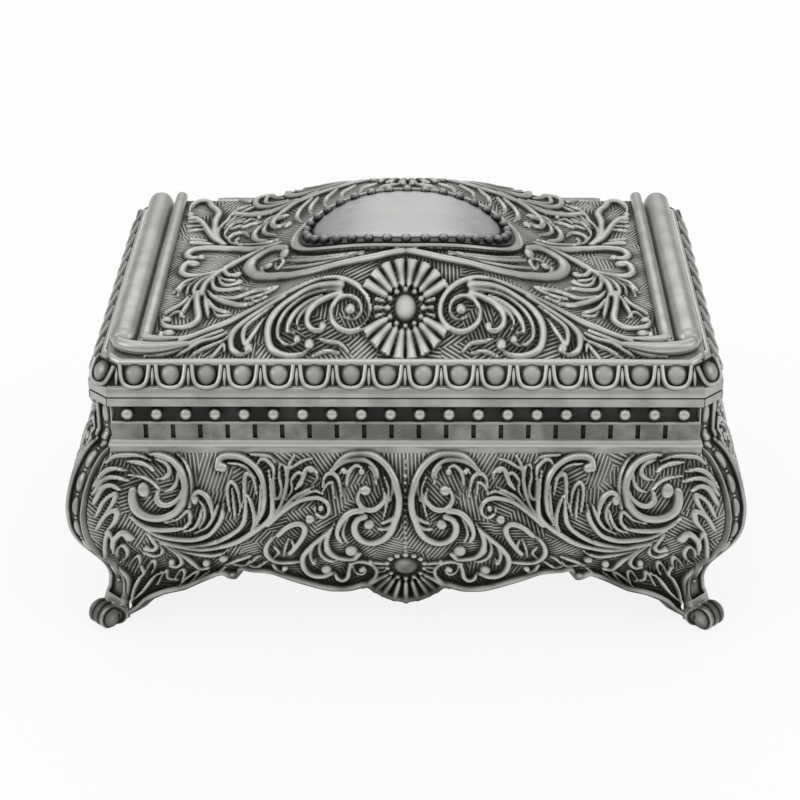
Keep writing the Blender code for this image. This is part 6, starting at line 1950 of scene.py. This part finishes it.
@dataclass(frozen=True)
class PewterFinish:
    """Antique pewter: dark in the recesses, worn bright on what stands proud, with painted light and
    painted shade where its tone attribute carries them.
    """

    recess: tuple[float, float, float] = (0.019, 0.0195, 0.017)
    mid: tuple[float, float, float] = (0.172, 0.175, 0.159)
    worn: tuple[float, float, float] = (0.52, 0.523, 0.495)
    rough_recess: float = 0.62
    rough_worn: float = 0.33
    hatch_pitch: float = 0.85
    hatch_patch: float = 6.5

    def material(self, name: str = "antique_pewter_look") -> bpy.types.Material:
        """Make the material.

        Args:
            name: its name.

        Returns:
            The material.
        """
        nodes = Nodes(name)
        relief = nodes.add("ShaderNodeAttribute", attribute_name="relief").outputs["Fac"]
        patina_and_painted_light = nodes.add("ShaderNodeAttribute", attribute_name="patina_and_painted_light").outputs["Fac"]
        place = nodes.add("ShaderNodeAttribute", attribute_name="place").outputs["Vector"]
        spot = nodes.add("ShaderNodeTexCoord").outputs["Object"]
        cloud = nodes.add(
            "ShaderNodeTexNoise", {"Vector": spot, "Scale": 160.0, "Detail": 5.0}
        ).outputs["Fac"]
        grain = nodes.add(
            "ShaderNodeTexNoise", {"Vector": spot, "Scale": 2600.0, "Detail": 3.0}
        ).outputs["Fac"]
        hatch = self.hatch(nodes, place)
        ground = nodes.math("SUBTRACT", 1.0, nodes.span(relief, 0.02, 0.16))
        lines = nodes.math("MULTIPLY", hatch, ground)
        lifted = nodes.math("ADD", patina_and_painted_light, nodes.math("MULTIPLY", lines, 0.30))
        lifted = nodes.math("ADD", lifted, nodes.span(cloud, 0.3, 0.7, -0.06, 0.06))
        base = nodes.ramp(
            nodes.span(lifted, -0.42, 0.42),
            (
                (0.0, self.recess),
                (0.30, tuple(0.42 * v for v in self.mid)),
                (0.52, self.mid),
                (0.78, tuple(0.75 * v for v in self.worn)),
                (1.0, self.worn),
            ),
        )
        shader = nodes.shader
        nodes.feed(shader.inputs["Base Color"], base)
        rough = nodes.span(lifted, -0.3, 0.35, self.rough_recess, self.rough_worn)
        nodes.feed(shader.inputs["Roughness"], rough)
        shader.inputs["Metallic"].default_value = 0.88
        bump = nodes.add(
            "ShaderNodeBump", {"Height": lines, "Strength": 0.9, "Distance": 0.00022}
        )
        fine = nodes.add(
            "ShaderNodeBump",
            {"Height": grain, "Strength": 0.25, "Distance": 0.00006, "Normal": bump.outputs[0]},
        )
        nodes.feed(shader.inputs["Normal"], fine.outputs[0])
        return nodes.material

    def hatch(self, nodes: Nodes, place: bpy.types.NodeSocket) -> bpy.types.NodeSocket:
        """Fine ruled lines in patches that each run their own way.

        Args:
            nodes: the material's nodes.
            place: the place on the carved face in millimetres.

        Returns:
            The lines' height from 0 to 1.
        """
        patch = nodes.add(
            "ShaderNodeTexVoronoi", {"Vector": place, "Scale": 1 / self.hatch_patch},
            voronoi_dimensions="2D",
        )
        turn = nodes.add("ShaderNodeSeparateColor", {0: patch.outputs["Color"]}).outputs[0]
        angle = nodes.math("MULTIPLY", turn, 2 * math.pi)
        across = nodes.math("COSINE", angle)
        along = nodes.math("SINE", angle)
        way = nodes.add("ShaderNodeCombineXYZ", {0: across, 1: along}).outputs[0]
        dot = nodes.add("ShaderNodeVectorMath", {0: place, 1: way}, operation="DOT_PRODUCT")
        wave = nodes.math("MULTIPLY", dot.outputs["Value"], 2 * math.pi / self.hatch_pitch)
        return nodes.span(nodes.math("SINE", wave), -0.6, 0.8)


@dataclass(frozen=True)
class BrushedFinish:
    """Smooth pewter brushed along the plaque's length."""

    colour: tuple[float, float, float] = (0.42, 0.43, 0.415)
    roughness: float = 0.30

    def material(self, name: str = "brushed_pewter_look") -> bpy.types.Material:
        """Make the material.

        Args:
            name: its name.

        Returns:
            The material.
        """
        nodes = Nodes(name)
        spot = nodes.add("ShaderNodeTexCoord").outputs["Object"]
        patina_and_painted_light = nodes.add("ShaderNodeAttribute", attribute_name="patina_and_painted_light").outputs["Fac"]
        long = nodes.add("ShaderNodeMapping", {"Vector": spot, "Scale": (60.0, 5200.0, 900.0)})
        streak = nodes.add("ShaderNodeTexNoise", {"Vector": long.outputs[0], "Scale": 1.0})
        dark = tuple(0.12 * v for v in self.colour)
        mid = tuple(0.5 * v for v in self.colour)
        high = tuple(1.12 * v for v in self.colour)
        across = nodes.add("ShaderNodeSeparateXYZ", {0: spot}).outputs[0]
        away = nodes.math("ABSOLUTE", across, 0.0)
        # Painted shade: the plate is drawn darker towards both ends.
        ends = nodes.span(away, 0.004, 0.015, 0.02, -0.2)
        lines = nodes.span(streak.outputs["Fac"], 0.3, 0.7, -0.12, 0.12)
        shade = nodes.math("ADD", patina_and_painted_light, nodes.math("ADD", ends, lines))
        stops = ((0.0, dark), (0.5, mid), (0.85, self.colour), (1.0, high))
        base = nodes.ramp(nodes.span(shade, -0.6, 0.42), stops)
        nodes.feed(nodes.shader.inputs["Base Color"], base)
        rough = nodes.span(streak.outputs["Fac"], 0.3, 0.7, self.roughness, self.roughness + 0.12)
        nodes.feed(nodes.shader.inputs["Roughness"], rough)
        nodes.shader.inputs["Metallic"].default_value = 0.95
        bump = nodes.add(
            "ShaderNodeBump",
            {"Height": streak.outputs["Fac"], "Strength": 0.2, "Distance": 0.00004},
        )
        nodes.feed(nodes.shader.inputs["Normal"], bump.outputs[0])
        return nodes.material


@dataclass(frozen=True)
class SteelFinish:
    """Plated steel of the hinges."""

    colour: tuple[float, float, float] = (0.42, 0.43, 0.42)

    def material(self, name: str = "hinge_steel_look") -> bpy.types.Material:
        """Make the material.

        Args:
            name: its name.

        Returns:
            The material.
        """
        nodes = Nodes(name)
        spot = nodes.add("ShaderNodeTexCoord").outputs["Object"]
        cloud = nodes.add("ShaderNodeTexNoise", {"Vector": spot, "Scale": 420.0, "Detail": 4.0})
        dull = tuple(0.55 * v for v in self.colour)
        nodes.feed(
            nodes.shader.inputs["Base Color"],
            nodes.ramp(cloud.outputs["Fac"], ((0.3, dull), (0.7, self.colour))),
        )
        rough = nodes.span(cloud.outputs["Fac"], 0.3, 0.7, 0.48, 0.3)
        nodes.feed(nodes.shader.inputs["Roughness"], rough)
        nodes.shader.inputs["Metallic"].default_value = 1.0
        return nodes.material


@dataclass(frozen=True)
class VelvetFinish:
    """Short deep red velvet."""

    colour: tuple[float, float, float] = (0.11, 0.014, 0.022)

    def material(self, name: str = "velvet_look") -> bpy.types.Material:
        """Make the material.

        Args:
            name: its name.

        Returns:
            The material.
        """
        nodes = Nodes(name)
        spot = nodes.add("ShaderNodeTexCoord").outputs["Object"]
        nap = nodes.add("ShaderNodeTexNoise", {"Vector": spot, "Scale": 260.0, "Detail": 6.0})
        pile = nodes.add("ShaderNodeTexNoise", {"Vector": spot, "Scale": 4200.0, "Detail": 2.0})
        dark = tuple(0.45 * v for v in self.colour)
        nodes.feed(
            nodes.shader.inputs["Base Color"],
            nodes.ramp(nap.outputs["Fac"], ((0.35, dark), (0.65, self.colour))),
        )
        nodes.shader.inputs["Roughness"].default_value = 0.95
        nodes.shader.inputs["Sheen Weight"].default_value = 0.9
        nodes.shader.inputs["Sheen Roughness"].default_value = 0.35
        nodes.shader.inputs["Sheen Tint"].default_value = (0.75, 0.25, 0.28, 1.0)
        bump = nodes.add(
            "ShaderNodeBump",
            {"Height": pile.outputs["Fac"], "Strength": 0.6, "Distance": 0.0002},
        )
        nodes.feed(nodes.shader.inputs["Normal"], bump.outputs[0])
        return nodes.material


class Hinges:
    """The hinges, pins and screws, shown as their CAD nodes in plated steel."""

    def dress(self, steel: bpy.types.Material) -> int:
        """Give the nodes their finish.

        Args:
            steel: the finish.

        Returns:
            How many nodes were dressed.
        """
        count = 0
        for name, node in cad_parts.items():
            if name.startswith("hinge_"):
                node.data.materials.clear()
                node.data.materials.append(steel)
                count += 1
        return count


@dataclass(frozen=True)
class Lamp:
    """A soft lamp: where it hangs and its size in metres, and its power in watts."""

    name: str
    place: tuple[float, float, float]
    width: float
    height: float
    power: float


@dataclass(frozen=True)
class StudioSizes:
    """Camera and light of the studio, in metres and radians."""

    lean: float = 0.47996554
    distance: float = 0.53027
    focal_pixels: float = 2208.80
    yaw: float = -0.014787
    roll: float = -0.005418
    aim_x: float = -0.001789
    aim_z: float = 0.032927
    picture: float = 800.0
    sensor: float = 36.0
    floor_lift: float = 0.85
    sky_strength: float = 0.9
    lamp_aim: float = 0.04


class Studio:
    """The white floor, the soft light and the camera above the front."""

    LAMPS = (
        Lamp("top_light", (0.0, -0.15, 1.1), 0.9, 0.6, 1.1),
        Lamp("left_light", (-0.95, -0.45, 0.75), 0.6, 0.6, 1.8),
        Lamp("right_light", (0.95, -0.35, 0.6), 0.6, 0.6, 1.3),
        Lamp("rear_light", (0.0, 1.1, 0.8), 1.0, 0.5, 1.6),
    )
    SKY = ((0.0, 0.50), (0.25, 0.60), (0.6, 0.85), (1.0, 1.0))

    def __init__(self, sizes: StudioSizes) -> None:
        """Take the sizes.

        Args:
            sizes: the camera's sizes.
        """
        self.sizes = sizes

    def build(self) -> None:
        """Make the floor, the world, the lamps and the camera."""
        self.floor()
        self.world()
        for lamp in self.LAMPS:
            self.lamp(lamp)
        self.camera()

    def floor(self) -> None:
        """Make the white floor."""
        mesh = bpy.data.meshes.new("studio_floor")
        corners = [(-3.0, -3.0, 0.0), (3.0, -3.0, 0.0), (3.0, 3.0, 0.0), (-3.0, 3.0, 0.0)]
        mesh.from_pydata(corners, [], [(0, 1, 2, 3)])
        floor = bpy.data.objects.new("studio_floor", mesh)
        bpy.context.scene.collection.objects.link(floor)
        floor.location.z = -0.0002
        nodes = Nodes("studio_white")
        spot = nodes.add("ShaderNodeTexCoord").outputs["Object"]
        cloud = nodes.add("ShaderNodeTexNoise", {"Vector": spot, "Scale": 3.0}).outputs["Fac"]
        white = nodes.ramp(cloud, ((0.0, (0.93, 0.93, 0.93)), (1.0, (0.96, 0.96, 0.96))))
        nodes.feed(nodes.shader.inputs["Base Color"], white)
        nodes.shader.inputs["Roughness"].default_value = 0.9
        seen = nodes.add("ShaderNodeLightPath")
        rays = [seen.outputs[f"Is {kind} Ray"] for kind in ("Camera", "Glossy", "Transmission")]
        direct = nodes.math("MAXIMUM", nodes.math("MAXIMUM", rays[0], rays[1]), rays[2])
        share = nodes.math("MULTIPLY", direct, self.sizes.floor_lift)
        lift = nodes.add("ShaderNodeEmission", {"Color": (1.0, 1.0, 1.0, 1.0), "Strength": 1.0})
        mixed = nodes.add("ShaderNodeMixShader", {0: share})
        nodes.tree.links.new(nodes.shader.outputs[0], mixed.inputs[1])
        nodes.tree.links.new(lift.outputs[0], mixed.inputs[2])
        out = nodes.tree.nodes["Material Output"]
        nodes.tree.links.new(mixed.outputs[0], out.inputs["Surface"])
        mesh.materials.append(nodes.material)

    def world(self) -> None:
        """Make the light that comes from all round: bright above, dimmer at the sides."""
        world = bpy.data.worlds.new("studio_world")
        bpy.context.scene.world = world
        world.use_nodes = True
        tree = world.node_tree
        tree.nodes.clear()
        way = tree.nodes.new("ShaderNodeTexCoord")
        parts = tree.nodes.new("ShaderNodeSeparateXYZ")
        tree.links.new(way.outputs["Generated"], parts.inputs[0])
        ramp = tree.nodes.new("ShaderNodeValToRGB")
        while len(ramp.color_ramp.elements) < len(self.SKY):
            ramp.color_ramp.elements.new(0.5)
        for element, (place, grey) in zip(ramp.color_ramp.elements, self.SKY):
            element.position = place
            element.color = (grey, grey, grey, 1.0)
        tree.links.new(parts.outputs["Z"], ramp.inputs[0])
        soft = tree.nodes.new("ShaderNodeBackground")
        tree.links.new(ramp.outputs[0], soft.inputs["Color"])
        soft.inputs["Strength"].default_value = self.sizes.sky_strength
        out = tree.nodes.new("ShaderNodeOutputWorld")
        tree.links.new(soft.outputs[0], out.inputs["Surface"])

    def lamp(self, lamp: Lamp) -> None:
        """Add a soft lamp that shines at the box.

        Args:
            lamp: its place, size and power.
        """
        data = bpy.data.lights.new(lamp.name, "AREA")
        data.shape = "RECTANGLE"
        data.size = lamp.width
        data.size_y = lamp.height
        data.energy = lamp.power
        light = bpy.data.objects.new(lamp.name, data)
        bpy.context.scene.collection.objects.link(light)
        light.location = lamp.place
        way = Vector((0, 0, self.sizes.lamp_aim)) - Vector(lamp.place)
        light.rotation_euler = way.to_track_quat("-Z", "Y").to_euler()

    def camera(self) -> None:
        """Add the camera, placed as the photo was taken."""
        sizes = self.sizes
        rise, out = math.sin(sizes.lean), math.cos(sizes.lean)
        spot = Vector((sizes.aim_x, -sizes.distance * out, sizes.aim_z + sizes.distance * rise))
        ahead, right, up = Vector((0, out, -rise)), Vector((1, 0, 0)), Vector((0, rise, out))
        turn_cos, turn_sin = math.cos(sizes.roll), math.sin(sizes.roll)
        rolled = turn_cos * right + turn_sin * up
        rolled_up = turn_cos * up - turn_sin * right
        turn = Matrix.Rotation(-sizes.yaw, 3, "Z")
        data = bpy.data.cameras.new("photo_camera")
        data.sensor_width = sizes.sensor
        data.lens = sizes.focal_pixels / sizes.picture * sizes.sensor
        data.clip_start = 0.01
        camera = bpy.data.objects.new("photo_camera", data)
        bpy.context.scene.collection.objects.link(camera)
        axes = Matrix((turn @ rolled, turn @ rolled_up, turn @ -ahead)).transposed().to_4x4()
        axes.translation = turn @ spot
        camera.matrix_world = axes
        bpy.context.scene.camera = camera


def dress_node(name: str, material: bpy.types.Material) -> None:
    """Show a CAD node in a finish.

    Args:
        name: the node.
        material: the finish.
    """
    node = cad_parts[name]
    node.data.materials.clear()
    node.data.materials.append(material)


def main() -> None:
    """Build the box, sub-assembly by sub-assembly."""
    logging.basicConfig(level=logging.INFO, format="%(message)s")
    scene = bpy.context.scene
    scene.view_settings.view_transform = "Standard"
    pewter = PewterFinish().material()
    brushed = BrushedFinish().material()
    velvet = VelvetFinish().material()
    for side in Side:
        long = side in (Side.FRONT, Side.REAR)
        sizes = PanelSizes(64.55 if long else 43.05, side is Side.REAR)
        LOG.info("%s", Panel(side, sizes).build(pewter).name)
    corners = (
        ("front_left", (-1, -1)), ("front_right", (1, -1)),
        ("rear_right", (1, 1)), ("rear_left", (-1, 1)),
    )
    for name, corner in corners:
        LOG.info("%s", CornerPost(name, corner, PostSizes()).build(pewter).name)
    LOG.info("%s", Lid().build(pewter).name)
    LOG.info("%s", Plaque().build(brushed).name)
    pads = (
        Pad("floor_pad", Thin.FLOOR, "box"), Pad("lid_lining", Thin.LID, "lid"),
        Pad("front_lining", Thin.FRONT, "box"), Pad("rear_lining", Thin.REAR, "box"),
        Pad("left_lining", Thin.LEFT, "box"), Pad("right_lining", Thin.RIGHT, "box"),
    )
    for pad in pads:
        LOG.info("%s", pad.build(velvet).name)
    LOG.info("hinge nodes: %d", Hinges().dress(SteelFinish().material()))
    dress_node("floor_plate", SteelFinish().material("floor_plate_look"))
    Studio(StudioSizes()).build()


if __name__ == "__main__":
    main()
